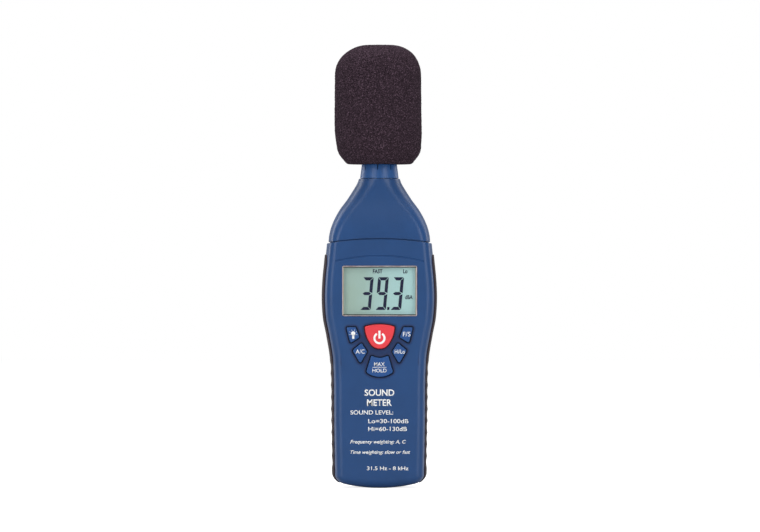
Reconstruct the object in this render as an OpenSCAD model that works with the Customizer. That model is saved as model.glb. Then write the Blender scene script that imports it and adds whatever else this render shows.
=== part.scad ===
// Hand-held sound level meter with a foam windscreen on a half-inch microphone.
// Millimetres. The origin is the mouth of the tripod thread on the flat back, +Y points out of
// that thread, +Z runs along the meter towards the microphone and the keys face -Y.
// Heights inside the modules are measured from the lowest point of the case; up() places them.

/* [Case] */
// Thickness of the case from the flat back to the flat front
case_d = 31.4; // [31:0.1:32]
// Height of the case up to the seam under the head, at its sides
case_h = 115.7; // [115.4:0.1:116]
// Wall thickness of the shells and the head
wall = 2.2; // [2.0:0.1:2.4]
// Radius of the long edges between the faces and the sides
edge_r = 4; // [3.6:0.1:4.4]
// How far the sides bulge between the front and back edges
side_crown = 1.2; // [0.8:0.1:1.4]
// Radius of the curved bottom edge, seen from the front
bottom_r = 74; // [70:1:90]
// How much higher the head seam is in the middle than at the sides
seam_arch = 2; // [1:0.1:2.4]

/* [Grips] */
// How far the rubber side grips stand out of the case
grip_proud = 0.5; // [0.3:0.1:0.6]
// How deep the grips sit in the shells
grip_set = 1; // [0.8:0.1:1]
// Front-to-back width of a grip
grip_w = 21; // [18:0.5:22]
// Height of the grips' upper end
grip_top = 110.5; // [109:0.5:111.5]

/* [Window] */
// Width of the display window
window_w = 35.4; // [34:0.1:36]
// Height of the display window
window_h = 23.8; // [22:0.1:24.5]
// Height of the window's centre
window_z = 93.2; // [93:0.1:93.6]

/* [Keys] */
// How far the keys stand out of the front
key_proud = 0.6; // [0.4:0.1:0.8]
// Key travel
key_travel = 0.8; // [0.6:0.1:0.8]
// Gap between a key and the edge of its hole
key_gap = 0.3; // [0.2:0.05:0.4]

/* [Microphone] */
// Outer radius of the microphone barrel, half an inch across
mic_r = 6.35; // [6.3:0.05:6.4]
// Height of the microphone's tip
mic_top = 181; // [178:1:184]
// Largest radius of the foam windscreen
foam_r = 20.65; // [20:0.05:22]
// Height of the top of the windscreen
foam_top = 210; // [206:1:214]

/* [Tripod thread] */
// Height of the thread's axis
mount_h = 80; // [79:0.5:81]
// Radius of the threaded hole, tapped for a quarter-inch camera screw
thread_r = 2.55; // [2.5:0.05:2.6]
// Length of the brass insert
insert_l = 8; // [7:0.5:8]

/* [Battery] */
// Width of the nine volt battery
battery_w = 26.5; // [26:0.5:26.5]
// Thickness of the battery
battery_t = 17.5; // [17:0.5:17.5]
// Length of the battery's case
battery_l = 46.4; // [46:0.1:46.6]

/* [Hidden] */
$fn = 64;

blue = "#345a94";
key_blue = "#3c62a4";
rubber = "#3a2a30";
green_board = "#1f6b3a";

// Half-thickness of the case and the depth of the middle plane, where the two shells meet
half_d = case_d / 2;
mid_y = -half_d;
part_gap = 0.05;      // half the gap between the shells
face_y = -case_d;     // the flat front
inner_y = face_y + wall;

// [height, half-width] stations of the case and the head, joined by a smooth curve
case_stations = [[4, 21.8], [30, 22.2], [60, 22.8], [72, 24.7], [80, 26.3], [89, 26.9],
    [98, 26.6], [108, 25.65], [116, 24.85]];
head_stations = [[115, 24.2], [119, 23.9], [123, 22.95], [127, 21.3], [131.5, 18.8],
    [136, 15.6], [140, 13], [144, 10.6], [146.4, 9.7]];
head_top = 146.4;
seam_gap = 0.3;
neck_half_d = 9.7;
neck_edge_r = 8.8;
neck_crown = 0.4;
collar_top = 153.3;
collar_r = 9.15;
collar_top_r = 8.35;

// Stack behind the front face, as depths
board_y = -25.6;      // front of the circuit board
board_t = 1.6;
board_back = board_y + board_t;
glass_front = -29;
glass_t = 2;
mat_t = 1.2;
flange_t = 0.8;       // flange that keeps a key in its hole
flange_w = 0.8;
flange_front = inner_y + 0.1;

// Case screws, from the back into posts of the front shell: [distance from the middle, height]
case_screw_at = [[17.2, 66], [16.5, 110]];
post_r = 2.4;
post_split = -4.9;    // where the front shell's posts meet the rear shell's
// Board screws, from behind the board into short posts of the front shell
board_screw_at = [[18.6, 73.5], [9.5, 109.8]];
board_post_r = 1.7;

// Battery door in the lower back: a plate outside, a web, and a flange behind the shell's ledges
door_w = 17;
door_top = 60;
door_plate = 1.2;
door_web_w = 15.2;
door_flange_w = 16.6;
door_flange = [-3.4, -2.4];
door_cap_d = 6;       // depth of the part of the bottom that the door brings with it
door_gap = 0.2;
// Battery bay
bay_half_w = 16.8;
bay_wall = 1;
bay_floor = 5.2;
bay_roof = 62;
bay_back = -22.2;
battery_z = 6.6;
battery_y = -4.3;

trimmer_at = [13, 100];
trimmer_w = 6.8;
trimmer_h = 4.6;
rotor_r = 1.9;

// Key outlines, [x, height, corner radius], going round; the right-hand keys are mirrored
power_outline = [[-7.2, 76.33, 0.8], [0, 78.18, 24], [7.2, 76.33, 0.8], [6.35, 71.4, 14],
    [2.9, 65.97, 4.8], [-2.9, 65.97, 4.8], [-6.35, 71.4, 14]];
corner_outline = [[-15.8, 76.1, 0.7], [-11.3, 76.1, 0.7], [-9.45, 71.3, 0.7], [-13.85, 68.5, 0.7]];
kite_outline = [[-8.6, 68.75, 0.7], [-5.85, 64.5, 0.7], [-9.15, 58.75, 0.7], [-12.85, 65.1, 0.7]];
hold_outline = [[-4, 62.75, 0.6], [0, 60.9, 7], [4, 62.75, 0.6], [6.45, 54.75, 1.2],
    [0, 50.78, 10.5], [-6.45, 54.75, 1.2]];
mat_outline = [[-16.5, 77.6], [16.5, 77.6], [16.5, 70], [14.2, 70], [14.2, 57], [8, 50.6],
    [-8, 50.6], [-14.2, 57], [-14.2, 70], [-16.5, 70]];
dome_at = [[0, 71.5], [-12.6, 72.8], [12.6, 72.8], [-9.2, 64.2], [9.2, 64.2], [0, 57.2]];

// ---- curves ----

// Slope of a station curve at station i, from its neighbours
function slope(s, i) = let (a = max(i - 1, 0), b = min(i + 1, len(s) - 1))
    (s[b][1] - s[a][1]) / (s[b][0] - s[a][0]);

// Cubic through two stations with the slopes above, t from 0 to 1 between them
function hermite(s, i, t) = let (h = s[i + 1][0] - s[i][0])
    (2 * t ^ 3 - 3 * t ^ 2 + 1) * s[i][1] + (t ^ 3 - 2 * t ^ 2 + t) * h * slope(s, i)
    + (3 * t ^ 2 - 2 * t ^ 3) * s[i + 1][1] + (t ^ 3 - t ^ 2) * h * slope(s, i + 1);

// Value of a station curve at height z, held constant below and above its ends
function at_height(s, z) = z <= s[0][0] ? s[0][1] : z >= s[len(s) - 1][0] ? s[len(s) - 1][1]
    : let (i = max([for (k = [0:len(s) - 2]) if (s[k][0] <= z) k]))
        hermite(s, i, (z - s[i][0]) / (s[i + 1][0] - s[i][0]));

function clamp01(t) = min(max(t, 0), 1);
function mix(a, b, t) = a + (b - a) * clamp01(t);
function unit(v) = v / norm(v);

// Shortest turn from angle a to angle b
function turn(a, b) = let (d = b - a) d > 180 ? d - 360 : d < -180 ? d + 360 : d;

// Arc that rounds corner p between the points before and after it
function corner(before, p, after, r, steps) = let (
    u = unit(before - p), v = unit(after - p), half = acos(u * v) / 2,
    c = p + unit(u + v) * r / sin(half),
    d0 = p + u * r / tan(half) - c, d1 = p + v * r / tan(half) - c,
    a0 = atan2(d0[1], d0[0]), sweep = turn(a0, atan2(d1[1], d1[0])))
    [for (k = [0:steps]) c + r * [cos(a0 + sweep * k / steps), sin(a0 + sweep * k / steps)]];

// Outline with every corner rounded to its own radius; a radius of 0 stays sharp
function rounded(pts, steps = 6) = let (n = len(pts), xy = [for (p = pts) [p[0], p[1]]])
    [for (i = [0:n - 1]) each pts[i][2] == 0 ? [xy[i]]
        : corner(xy[(i + n - 1) % n], xy[i], xy[(i + 1) % n], pts[i][2], steps)];

function mirrored(pts) = [for (p = pts) [-p[0], p[1], p[2]]];

// ---- lofted skins ----

arc_steps = 4;
flat_steps = 6;
side_steps = [0.3, 0.7];

// Front half of a section: half-width w, half-depth d, edge radius r, side bulge c, seen from
// above, from the left side round the front to the right side
function half_section(w, d, r, c) = let (e = w - c, f = d - r, left = concat(
        [for (s = side_steps) [-(w - c * s ^ 2), -s * f]],
        [for (k = [0:arc_steps]) let (a = 180 + 90 * k / arc_steps)
            [-(e - r) + r * cos(a), -f + r * sin(a)]]),
    n = len(left))
    concat(left, [for (k = [1:flat_steps - 1]) [(e - r) * (2 * k / flat_steps - 1), -d]],
        [for (i = [n - 1:-1:0]) [-left[i][0], left[i][1]]]);

// Whole section about the middle plane, bent by the rise at each x
function section(w, d, r, c, z, fall, rise) = let (h = half_section(w, d, r, c), n = len(h),
    full = concat(h, [for (i = [n - 1:-1:0]) [h[i][0], -h[i][1]]]))
    [for (p = full) [p[0], mid_y + p[1], z + fall * p[0] ^ 2 / (2 * bottom_r)
        + rise * seam_arch * (1 - (p[0] / 25) ^ 2)]];

// Closed skin through sections that all have the same number of points
module loft(sections) {
    n = len(sections[0]);
    m = len(sections);
    base = (m - 1) * n;
    polyhedron([for (s = sections) each s], concat(
        [for (k = [0:m - 2], i = [0:n - 1]) each let (a = k * n + i, b = k * n + (i + 1) % n)
            [[a, a + n, b + n], [a, b + n, b]]],
        [for (i = [0:n / 2 - 2]) each [[i, i + 1, n - 2 - i], [i, n - 2 - i, n - 1 - i]]],
        [for (i = [0:n / 2 - 2]) each
            [[base + i, base + n - 1 - i, base + n - 2 - i],
                [base + i, base + n - 2 - i, base + i + 1]]]));
}

// Section of the case at height z, grown by off
function case_section(z, off, inset) = let (w = at_height(case_stations, z))
    section(w + off - inset, half_d + off - inset, max(edge_r + off - inset * 0.6, 0.8), side_crown,
        z, clamp01(1 - z / 22), clamp01((z - 100) / (case_h - 100)));

// Solid with the outer shape of the case grown by off: a quarter-round bottom edge, then rings
// every 4 mm up to top
module case_solid(off = 0, top = case_h) {
    r = edge_r + off;
    rings = [for (z = [8:4:top - 1]) z];
    loft(concat(
        [for (a = [0:18:90]) case_section(edge_r - r * cos(a), off, r * (1 - sin(a)))],
        [for (z = rings) case_section(z, off, 0)],
        [case_section(top, off, 0)]));
}

// Section of the head at height z, grown by off: flat faces with wide rounded edges that become
// the neck
function head_section(z, off) = let (t = (z - case_h) / (head_top - case_h),
    ease = t * t * (3 - 2 * t))
    section(at_height(head_stations, z) + off, mix(half_d - 0.5, neck_half_d, ease) + off,
        max(mix(edge_r, neck_edge_r, t) + off, 1), mix(side_crown, neck_crown, t),
        z, 0, clamp01(1 - t * 1.5));

module head_solid(low, high, off = 0) {
    steps = 16;
    loft([for (k = [0:steps]) head_section(low + (high - low) * k / steps, off)]);
}

// ---- helpers ----

// Moves a shape drawn at heights above the bottom of the case to the meter's own frame
module up() {
    translate([0, 0, -mount_h]) children();
}

// Extrudes an outline drawn in [x, height] from depth y0 to depth y1
module slab(y0, y1) {
    translate([0, y1, 0]) rotate([90, 0, 0]) linear_extrude(y1 - y0) children();
}

// Cylinder along the depth at [x, height], from depth y0 to depth y1
module peg(at, y0, y1, r) {
    translate([at[0], y1, at[1]]) rotate([90, 0, 0]) cylinder(r = r, h = y1 - y0);
}

// Block between two opposite corners
module block(a, b) {
    translate(a) cube(b - a);
}

// Hull of two small rounds, for a groove or rib with round ends
module bar(a, b, r) {
    hull() {
        translate(a) sphere(r, $fn = 16);
        translate(b) sphere(r, $fn = 16);
    }
}

// Wire with eight sides through points, none of whose stretches runs along X
module wire(points, r) {
    sides = 8;
    last = len(points) - 1;
    ring = [for (i = [0:last]) let (
        t = unit(points[min(i + 1, last)] - points[max(i - 1, 0)]),
        u = unit(cross(t, [1, 0, 0])), v = cross(t, u))
        each [for (k = [0:sides - 1]) points[i] + r * (cos(360 * k / sides) * u + sin(360 * k / sides) * v)]];
    polyhedron(ring, concat(
        [for (i = [0:last - 1], k = [0:sides - 1]) each
            let (a = i * sides + k, b = i * sides + (k + 1) % sides)
            [[a, a + sides, b + sides], [a, b + sides, b]]],
        [[for (k = [0:sides - 1]) k]], [[for (k = [sides - 1:-1:0]) last * sides + k]]));
}

module both_sides() {
    children();
    mirror([1, 0, 0]) children();
}

// Turns an upright profile [radius, height] about the microphone's axis
module turned(profile) {
    translate([0, mid_y, 0]) rotate_extrude($fn = 96) polygon(profile);
}

// Band of the left or right side where a grip lies, with rounded ends; grown by g
module grip_band(g = 0) {
    hw = grip_w / 2 + g;
    end_r = 5;
    hull() for (y = [mid_y - hw + end_r, mid_y + hw - end_r], z = [2.5 - g + end_r, grip_top + g - end_r])
        translate([14, y, z]) rotate([0, 90, 0]) cylinder(r = end_r, h = 16, $fn = 32);
}

// ---- case ----

module shell_skin() {
    difference() {
        case_solid();
        case_solid(-wall, case_h + 4);
        both_sides() difference() {
            grip_band(0.1);
            case_solid(-grip_set - 0.05, case_h + 4);
        }
    }
}

module key_hole(outline) {
    slab(face_y - 1, inner_y + 1) offset(delta = key_gap) polygon(rounded(outline, 4));
}

module front_shell() {
    color(blue) up() difference() {
        union() {
            intersection() {
                shell_skin();
                block([-40, face_y - 1, -5], [40, mid_y - part_gap, 125]);
            }
            both_sides() for (at = case_screw_at) peg(at, inner_y - 0.5, post_split, post_r, $fn = 24);
            both_sides() for (at = board_screw_at) peg(at, inner_y - 0.5, board_y, board_post_r, $fn = 24);
            // Stiffening ribs behind the front, low in the case
            for (z = [16, 24, 32, 40]) bar([-15, inner_y, z], [15, inner_y, z], 0.7);
            both_sides() for (z = [22, 34]) bar([16.4, inner_y, z - 4], [16.4, inner_y, z + 4], 0.7);
        }
        both_sides() for (at = case_screw_at) peg(at, -18, 0, 1.3, $fn = 24);
        both_sides() for (at = board_screw_at) peg(at, -28.8, 0, 0.9, $fn = 24);
        slab(face_y - 1, face_y + 1.2) square_window(window_w + 0.2, window_h + 0.2, 0.9);
        slab(face_y - 1, inner_y + 1) square_window(window_w - 1.2, window_h - 1.2, 0.6);
        key_hole(power_outline);
        both_sides() key_hole(corner_outline);
        both_sides() key_hole(kite_outline);
        key_hole(hold_outline);
    }
}

// Rectangle with rounded corners about the window's centre
module square_window(w, h, r) {
    translate([0, window_z]) polygon(rounded([[-w / 2, -h / 2, r], [w / 2, -h / 2, r],
        [w / 2, h / 2, r], [-w / 2, h / 2, r]], 4));
}

module rear_shell() {
    color(blue) up() difference() {
        union() {
            intersection() {
                shell_skin();
                block([-40, mid_y + part_gap, -5], [40, 1, 125]);
            }
            both_sides() for (at = case_screw_at) peg(at, post_split + 0.1, -1, post_r + 0.8, $fn = 24);
            peg([0, mount_h], -insert_l - 1.4, -1, 6.2, $fn = 32);
            battery_bay();
            // Stiffening ribs inside the back, above the battery bay
            for (z = [93, 104]) bar([-15, -wall, z], [15, -wall, z], 0.7);
            both_sides() for (x = [9, 14], z = [70, 87]) bar([x, -wall, z], [x, -wall, z + 3], 0.7);
        }
        both_sides() for (at = case_screw_at) {
            peg(at, -10, 1, 1.6, $fn = 24);
            peg(at, -2.6, 1, 3, $fn = 32);
        }
        peg([0, mount_h], -insert_l - 0.1, 1, 4.45, $fn = 48);
        peg([trimmer_at[0], trimmer_at[1]], -8, 1, 1.7, $fn = 24);
        door_cut();
    }
}

// Walls round the battery, open to the back, with a slot for the leads
module battery_bay() {
    w = bay_half_w + bay_wall;
    difference() {
        block([-w, bay_back - bay_wall, bay_floor], [w, -1.5, bay_roof]);
        block([-bay_half_w, bay_back, bay_floor + bay_wall], [bay_half_w, 1, bay_roof - bay_wall]);
        block([-7, -20, bay_roof - 3], [7, -14, bay_roof + 1]);
    }
    both_sides() for (z = [16, 44])
        block([battery_w / 2 + 0.3, bay_back - 0.5, z], [w - 0.5, -4.4, z + 1.2]);
}

module door_cut() {
    block([-door_w - door_gap, -door_plate - 0.15, -5], [door_w + door_gap, 1, door_top + door_gap]);
    block([-door_web_w - door_gap, door_flange[0] - door_gap, -5],
        [door_web_w + door_gap, 1, door_top - 1]);
    block([-door_flange_w - door_gap, door_flange[0] - door_gap, -5],
        [door_flange_w + door_gap, -wall, door_top - 1]);
    block([-door_w - door_gap, -door_cap_d - door_gap, -5], [door_w + door_gap, 1, 4.9]);
    // Way out for the door's foam pad
    block([-11, -4.5, -5], [11, 1, bay_floor + bay_wall + 0.1]);
}

module battery_door() {
    color(blue) up() difference() {
        union() {
            intersection() {
                case_solid();
                block([-door_w, -door_plate, -5], [door_w, 1, door_top]);
            }
            intersection() {
                difference() {
                    case_solid();
                    case_solid(-wall, case_h);
                }
                block([-door_w, -door_cap_d, -5], [door_w, 1, 4.6]);
            }
            block([-door_web_w, door_flange[0], 3.2], [door_web_w, -door_plate + 0.1, door_top - 1.4]);
            block([-door_flange_w, door_flange[0], 4.9], [door_flange_w, door_flange[1], door_top - 1.4]);
        }
        // Thumb ribs
        for (z = [45:2:59]) bar([-7, 0.35, z - 2], [7, 0.35, z - 2], 0.7);
    }
}

module grip() {
    scallop_r = 15.6;
    depth = 0.3;
    difference() {
        intersection() {
            case_solid(grip_proud, case_h);
            grip_band();
        }
        case_solid(-grip_set, case_h + 4);
        // Scallops along the lower half
        for (k = [0:8]) let (z = 12 + 5.6 * k, x = at_height(case_stations, z) + grip_proud - depth + scallop_r)
            hull() {
                translate([x, mid_y - 9, z]) rotate([90, 0, 0]) cylinder(r = scallop_r, h = 0.5, $fn = 64);
                translate([x, mid_y + 9, z]) rotate([90, 0, 0]) cylinder(r = scallop_r, h = 0.5, $fn = 64);
            }
    }
}

module right_grip() {
    color(rubber) up() grip();
}

module left_grip() {
    color(rubber) up() mirror([1, 0, 0]) grip();
}

// ---- head and microphone ----

module nose_cone() {
    spigot_low = 113.4;
    color(blue) up() difference() {
        union() {
            difference() {
                head_solid(case_h + seam_gap, head_top);
                head_solid(case_h - 1, head_top - 4, -wall);
            }
            // Spigot that fits inside the top of the shells
            difference() {
                intersection() {
                    case_solid(-wall - 0.15, case_h + 3);
                    block([-40, face_y, spigot_low], [40, 1, case_h + 3]);
                }
                case_solid(-wall - 1.6, case_h + 6);
            }
            // Snap ribs on the spigot's front and back
            for (s = [-1, 1], x = [-12, 0, 12])
                bar([x - 3, mid_y + s * (half_d - wall - 0.65), spigot_low + 1],
                    [x + 3, mid_y + s * (half_d - wall - 0.65), spigot_low + 1], 0.45);
            for (s = [-1, 1]) bar([s * 21.6, mid_y - 4, spigot_low + 1], [s * 21.6, mid_y + 4, spigot_low + 1], 0.45);
        }
        translate([0, mid_y, head_top - 5]) cylinder(r = 7.75, h = 10, $fn = 48);
    }
}

module neck_collar() {
    color(blue) up() difference() {
        turned([[mic_r + 0.1, head_top + 0.1], [collar_r - 0.3, head_top + 0.1], [collar_r, head_top + 0.5],
            [collar_top_r, collar_top], [mic_r + 0.1, collar_top]]);
        for (a = [0:45:359]) translate([0, mid_y, 0]) rotate(a - 6)
            block([mic_r + 0.8, -0.25, collar_top - 2.6], [collar_r + 1, 0.25, collar_top + 1]);
    }
}

module mic_sleeve() {
    color("#222222") up() turned([[mic_r + 0.05, 141.6], [7.7, 141.6], [7.7, head_top - 0.1],
        [mic_r + 0.05, head_top - 0.1]]);
}

module mic_barrel() {
    color("#9aa0a4") up() turned([[mic_r - 0.7, 138], [mic_r, 138], [mic_r, mic_top - 6.6],
        [mic_r - 0.7, mic_top - 6.6]]);
}

module mic_ring() {
    color("#e8e6dc") up() turned([[5.75, mic_top - 6.5], [mic_r, mic_top - 6.5], [mic_r, mic_top - 6],
        [5.75, mic_top - 6]]);
}

module mic_capsule() {
    color("#c9b26a") up() difference() {
        turned([[0, mic_top - 9], [5.5, mic_top - 9], [5.5, mic_top - 2.2], [4.9, mic_top - 2.2],
            [4.9, mic_top - 2.4], [0, mic_top - 2.4]]);
        for (a = [0:60:359]) translate([0, mid_y, 0]) rotate(a)
            translate([3, 0, mic_top - 3]) cylinder(r = 0.5, h = 2, $fn = 24);
    }
}

module mic_grid() {
    color("#b4b8ba") up() difference() {
        turned([[5.8, mic_top - 5.9], [mic_r, mic_top - 5.9], [mic_r, mic_top - 0.5],
            [mic_r - 0.5, mic_top], [0, mic_top], [0, mic_top - 0.6], [5.8, mic_top - 0.6]]);
        for (k = [-2:2]) let (half = sqrt(4.9 ^ 2 - (k * 1.9) ^ 2))
            block([-half, mid_y + k * 1.9 - 0.5, mic_top - 1], [half, mid_y + k * 1.9 + 0.5, mic_top + 1]);
        for (a = [0:30:359]) translate([0, mid_y, 0]) rotate(a)
            block([5, -0.6, mic_top - 4.6], [7, 0.6, mic_top - 2]);
    }
}

module mic_leads() {
    color("#8a2020") up() for (s = [-1, 1])
        wire([[s * 1.2, mid_y, mic_top - 9.05], [s * 1.2, mid_y, 128], [s * 2, -19, 117],
            [s * 3, -21.5, 108], [s * 3, -22.4, 106], [s * 3, board_back + 0.05, 106]], 0.55);
}

module windscreen() {
    bore_r = mic_r + 0.3;
    bore_top = mic_top + 1.5;
    side = foam_r;
    color("#3a2e36") up() turned(concat(
        rounded([[bore_r, collar_top, 0], [15, collar_top, 1], [side - 0.9, collar_top + 5.4, 5],
            [side + 0.1, collar_top + 15, 60], [side - 0.25, foam_top - 0.1, 14.3],
            [0, foam_top, 0]], 8),
        [[0, bore_top], [bore_r - 1.5, bore_top], [bore_r, bore_top - 1.5]]));
}

// ---- display ----

module lcd_window() {
    color("#cdd8d4") up() slab(face_y + 0.1, face_y + 1.15) square_window(window_w, window_h, 0.8);
}

module lcd_glass() {
    color("#a8bdb0") up() slab(glass_front, glass_front + glass_t) square_window(37.4, 26, 0.2);
}

module lcd_frame() {
    color("#e9e9e4") up() difference() {
        slab(glass_front - 0.1, board_y - 0.05) square_window(39.2, 27.8, 0.8);
        slab(glass_front - 1, board_y + 1) square_window(37.6, 26.2, 0.3);
    }
}

module backlight_panel() {
    color("#f2f4f0") up() slab(glass_front + glass_t + 0.05, board_y - 0.05) square_window(33, 21.6, 0.5);
}

module contact_strips() {
    color("#d88aa0") up() for (s = [-1, 1])
        block([-17, glass_front + glass_t, window_z + s * 12 - 0.9], [17, board_y, window_z + s * 12 + 0.9]);
}

// ---- keys ----

module key_cap(outline) {
    slab(face_y - key_proud, flange_front + 0.1) polygon(rounded(outline));
    slab(flange_front, flange_front + flange_t) offset(delta = flange_w) polygon(rounded(outline, 3));
}

module power_key() {
    color("#f0484e") up() key_cap(power_outline);
}

module backlight_key() {
    color(key_blue) up() key_cap(corner_outline);
}

module response_key() {
    color(key_blue) up() key_cap(mirrored(corner_outline));
}

module weighting_key() {
    color(key_blue) up() key_cap(kite_outline);
}

module range_key() {
    color(key_blue) up() key_cap(mirrored(kite_outline));
}

module hold_key() {
    color(key_blue) up() key_cap(hold_outline);
}

// Silicone sheet on the board with a dome under each key; the domes stop short of a pressed key
module key_mat() {
    dome_front = flange_front + flange_t + key_travel + 0.1;
    color("#d9d6cc") up() {
        slab(board_y - mat_t, board_y) polygon(mat_outline);
        for (at = dome_at) peg(at, dome_front, board_y - 0.1, 2.2);
    }
}

// ---- electronics ----

module main_board() {
    color(green_board) up() difference() {
        union() {
            block([-17.8, board_y, 10], [17.8, board_back, 80]);
            block([-20.3, board_y, 71.5], [20.3, board_back, 108.5]);
            block([-15, board_y, 80], [15, board_back, 112.2]);
        }
        both_sides() for (at = case_screw_at) peg(at, board_y - 1, board_back + 1, post_r + 0.4);
        both_sides() for (at = board_screw_at) peg(at, board_y - 1, board_back + 1, 1.15);
    }
}

module chip(at, w, h, t) {
    block([at[0] - w / 2, board_back, at[1] - h / 2], [at[0] + w / 2, board_back + t, at[1] + h / 2]);
}

module microcontroller() {
    color("#202224") up() {
        chip([-2, 93], 14, 14, 1.6);
        for (k = [-5:5], s = [-1, 1]) {
            chip([-2 + k * 1.2, 93 + s * 7.6], 0.5, 1.4, 0.4);
            chip([-2 + s * 7.6, 93 + k * 1.2], 1.4, 0.5, 0.4);
        }
    }
}

module amplifier_chips() {
    color("#26282a") up() for (at = [[-13.5, 100], [-13.5, 88], [11, 88]]) {
        chip(at, 4, 8.6, 1.6);
        for (k = [-3:2:3], s = [-1, 1]) chip([at[0] + s * 2.5, at[1] + k * 1.1], 1.2, 0.5, 0.4);
    }
}

module capacitors() {
    color("#26406a") up() for (at = [[-10, 76], [10, 76], [-7, 104.2]])
        peg(at, board_back, board_back + 6.5, at[1] > 100 ? 2 : 2.8);
}

module crystal() {
    color("#c8cccf") up() slab(board_back, board_back + 3.5) translate([0, 80.8])
        polygon(rounded([[-5.2, -2.1, 2], [5.2, -2.1, 2], [5.2, 2.1, 2], [-5.2, 2.1, 2]]));
}

module trimmer_body() {
    back = board_back + trimmer_h;
    color("#2a5fb0") up() difference() {
        chip(trimmer_at, trimmer_w, trimmer_w, trimmer_h);
        peg(trimmer_at, back - 1, back + 1, rotor_r + 0.05);
    }
}

module trimmer_rotor() {
    back = board_back + trimmer_h;
    color("#e8e4d8") up() difference() {
        peg(trimmer_at, back - 0.95, back + 0.4, rotor_r);
        block([trimmer_at[0] - 3, back, trimmer_at[1] - 0.3], [trimmer_at[0] + 3, back + 1, trimmer_at[1] + 0.3]);
    }
}

// ---- battery ----

module battery() {
    y0 = battery_y - battery_t;
    color("#30343a") up() {
        translate([0, 0, battery_z]) linear_extrude(battery_l) polygon(rounded([
            [-battery_w / 2, y0, 2], [battery_w / 2, y0, 2],
            [battery_w / 2, battery_y, 2], [-battery_w / 2, battery_y, 2]]));
        for (s = [-1, 1]) translate([s * 6.35, battery_y - battery_t / 2, battery_z + battery_l - 0.1])
            cylinder(r = s > 0 ? 2.9 : 3.8, h = 2.1, $fn = s > 0 ? 64 : 6);
    }
}

module battery_snap() {
    z0 = battery_z + battery_l + 0.1;
    y = battery_y - battery_t / 2;
    color("#1c1c1e") up() difference() {
        translate([0, 0, z0]) linear_extrude(3.6) polygon(rounded([[-12.6, y - 6.5, 3], [12.6, y - 6.5, 3],
            [12.6, y + 6.5, 3], [-12.6, y + 6.5, 3]]));
        for (s = [-1, 1]) translate([s * 6.35, y, z0 - 1]) cylinder(r = s > 0 ? 3.1 : 4, h = 3.2);
    }
}

module battery_leads() {
    z0 = battery_z + battery_l + 3.7;
    color("#b02020") up() for (s = [-1, 1])
        wire([[s * 3, -16, z0 + 0.05], [s * 3, -16, z0 + 2], [s * 3, -17, z0 + 6], [s * 4, -20, z0 + 10],
            [s * 5, -22, z0 + 11], [s * 5, board_back + 0.05, z0 + 11]], 0.7);
}

module battery_pad() {
    color("#4a4a4e") up() block([-10, door_flange[0] - 0.8, 18], [10, door_flange[0], 44]);
}

// ---- fastenings ----

module tripod_insert() {
    color("#c9a24a") up() difference() {
        union() {
            peg([0, mount_h], -insert_l, 0, 4.1);
            for (y = [0, -insert_l + 2.4]) peg([0, mount_h], y - 2.4, y, 4.4);
        }
        peg([0, mount_h], -insert_l - 1, 1, thread_r);
    }
}

// Pan-head screw with a cross recess, its head's outer face at depth y
module screw(at, y, head_r, head_h, shank_r, length) {
    difference() {
        union() {
            peg(at, y - head_h, y, head_r);
            peg(at, y - head_h - length, y - head_h + 0.1, shank_r);
        }
        for (a = [0, 90]) translate([at[0], y, at[1]]) rotate([0, a, 0])
            cube([head_r * 1.1, head_h, 0.7], center = true);
    }
}

module case_screws() {
    color("#55585c") up() both_sides() for (at = case_screw_at) screw(at, -0.8, 2.7, 1.75, 1.25, 12);
}

module board_screws() {
    color("#9a9da0") up() both_sides() for (at = board_screw_at) screw(at, board_back + 1.2, 1.8, 1.2, 0.85, 4);
}

front_shell();
rear_shell();
nose_cone();
neck_collar();
windscreen();
mic_sleeve();
mic_barrel();
mic_ring();
mic_capsule();
mic_grid();
mic_leads();
lcd_window();
lcd_frame();
lcd_glass();
backlight_panel();
contact_strips();
key_mat();
power_key();
backlight_key();
response_key();
weighting_key();
range_key();
hold_key();
left_grip();
right_grip();
main_board();
microcontroller();
amplifier_chips();
capacitors();
crystal();
trimmer_body();
trimmer_rotor();
battery();
battery_snap();
battery_leads();
battery_pad();
battery_door();
tripod_insert();
case_screws();
board_screws();
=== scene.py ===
"""Sound level meter: the looks of a hand-held meter with a foam windscreen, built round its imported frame."""

import math

import bmesh
import bpy
import numpy as np
from bpy.props import FloatProperty, FloatVectorProperty, PointerProperty
from bpy.types import Operator, Panel, PropertyGroup
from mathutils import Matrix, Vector


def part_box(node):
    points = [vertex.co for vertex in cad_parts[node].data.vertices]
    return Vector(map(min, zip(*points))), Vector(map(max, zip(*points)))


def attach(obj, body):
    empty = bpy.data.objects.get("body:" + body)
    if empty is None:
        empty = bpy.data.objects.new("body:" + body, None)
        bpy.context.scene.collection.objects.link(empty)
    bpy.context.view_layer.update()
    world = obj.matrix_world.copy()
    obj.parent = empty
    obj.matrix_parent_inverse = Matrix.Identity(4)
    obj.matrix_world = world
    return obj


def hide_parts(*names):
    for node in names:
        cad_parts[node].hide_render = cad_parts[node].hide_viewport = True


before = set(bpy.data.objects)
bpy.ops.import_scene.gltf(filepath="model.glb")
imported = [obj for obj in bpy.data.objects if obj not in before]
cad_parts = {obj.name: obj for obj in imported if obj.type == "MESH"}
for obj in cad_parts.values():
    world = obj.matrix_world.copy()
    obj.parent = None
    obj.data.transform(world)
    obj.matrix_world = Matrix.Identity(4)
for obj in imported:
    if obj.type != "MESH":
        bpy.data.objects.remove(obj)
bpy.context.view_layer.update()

bl_info = {
    "name": "Sound level meter",
    "version": (1, 0, 0),
    "blender": (4, 5, 0),
    "location": "3D View > Sidebar > Meter",
    "description": "Builds a hand-held sound level meter round its frame, with its stage",
    "category": "Add Mesh",
}

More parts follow.
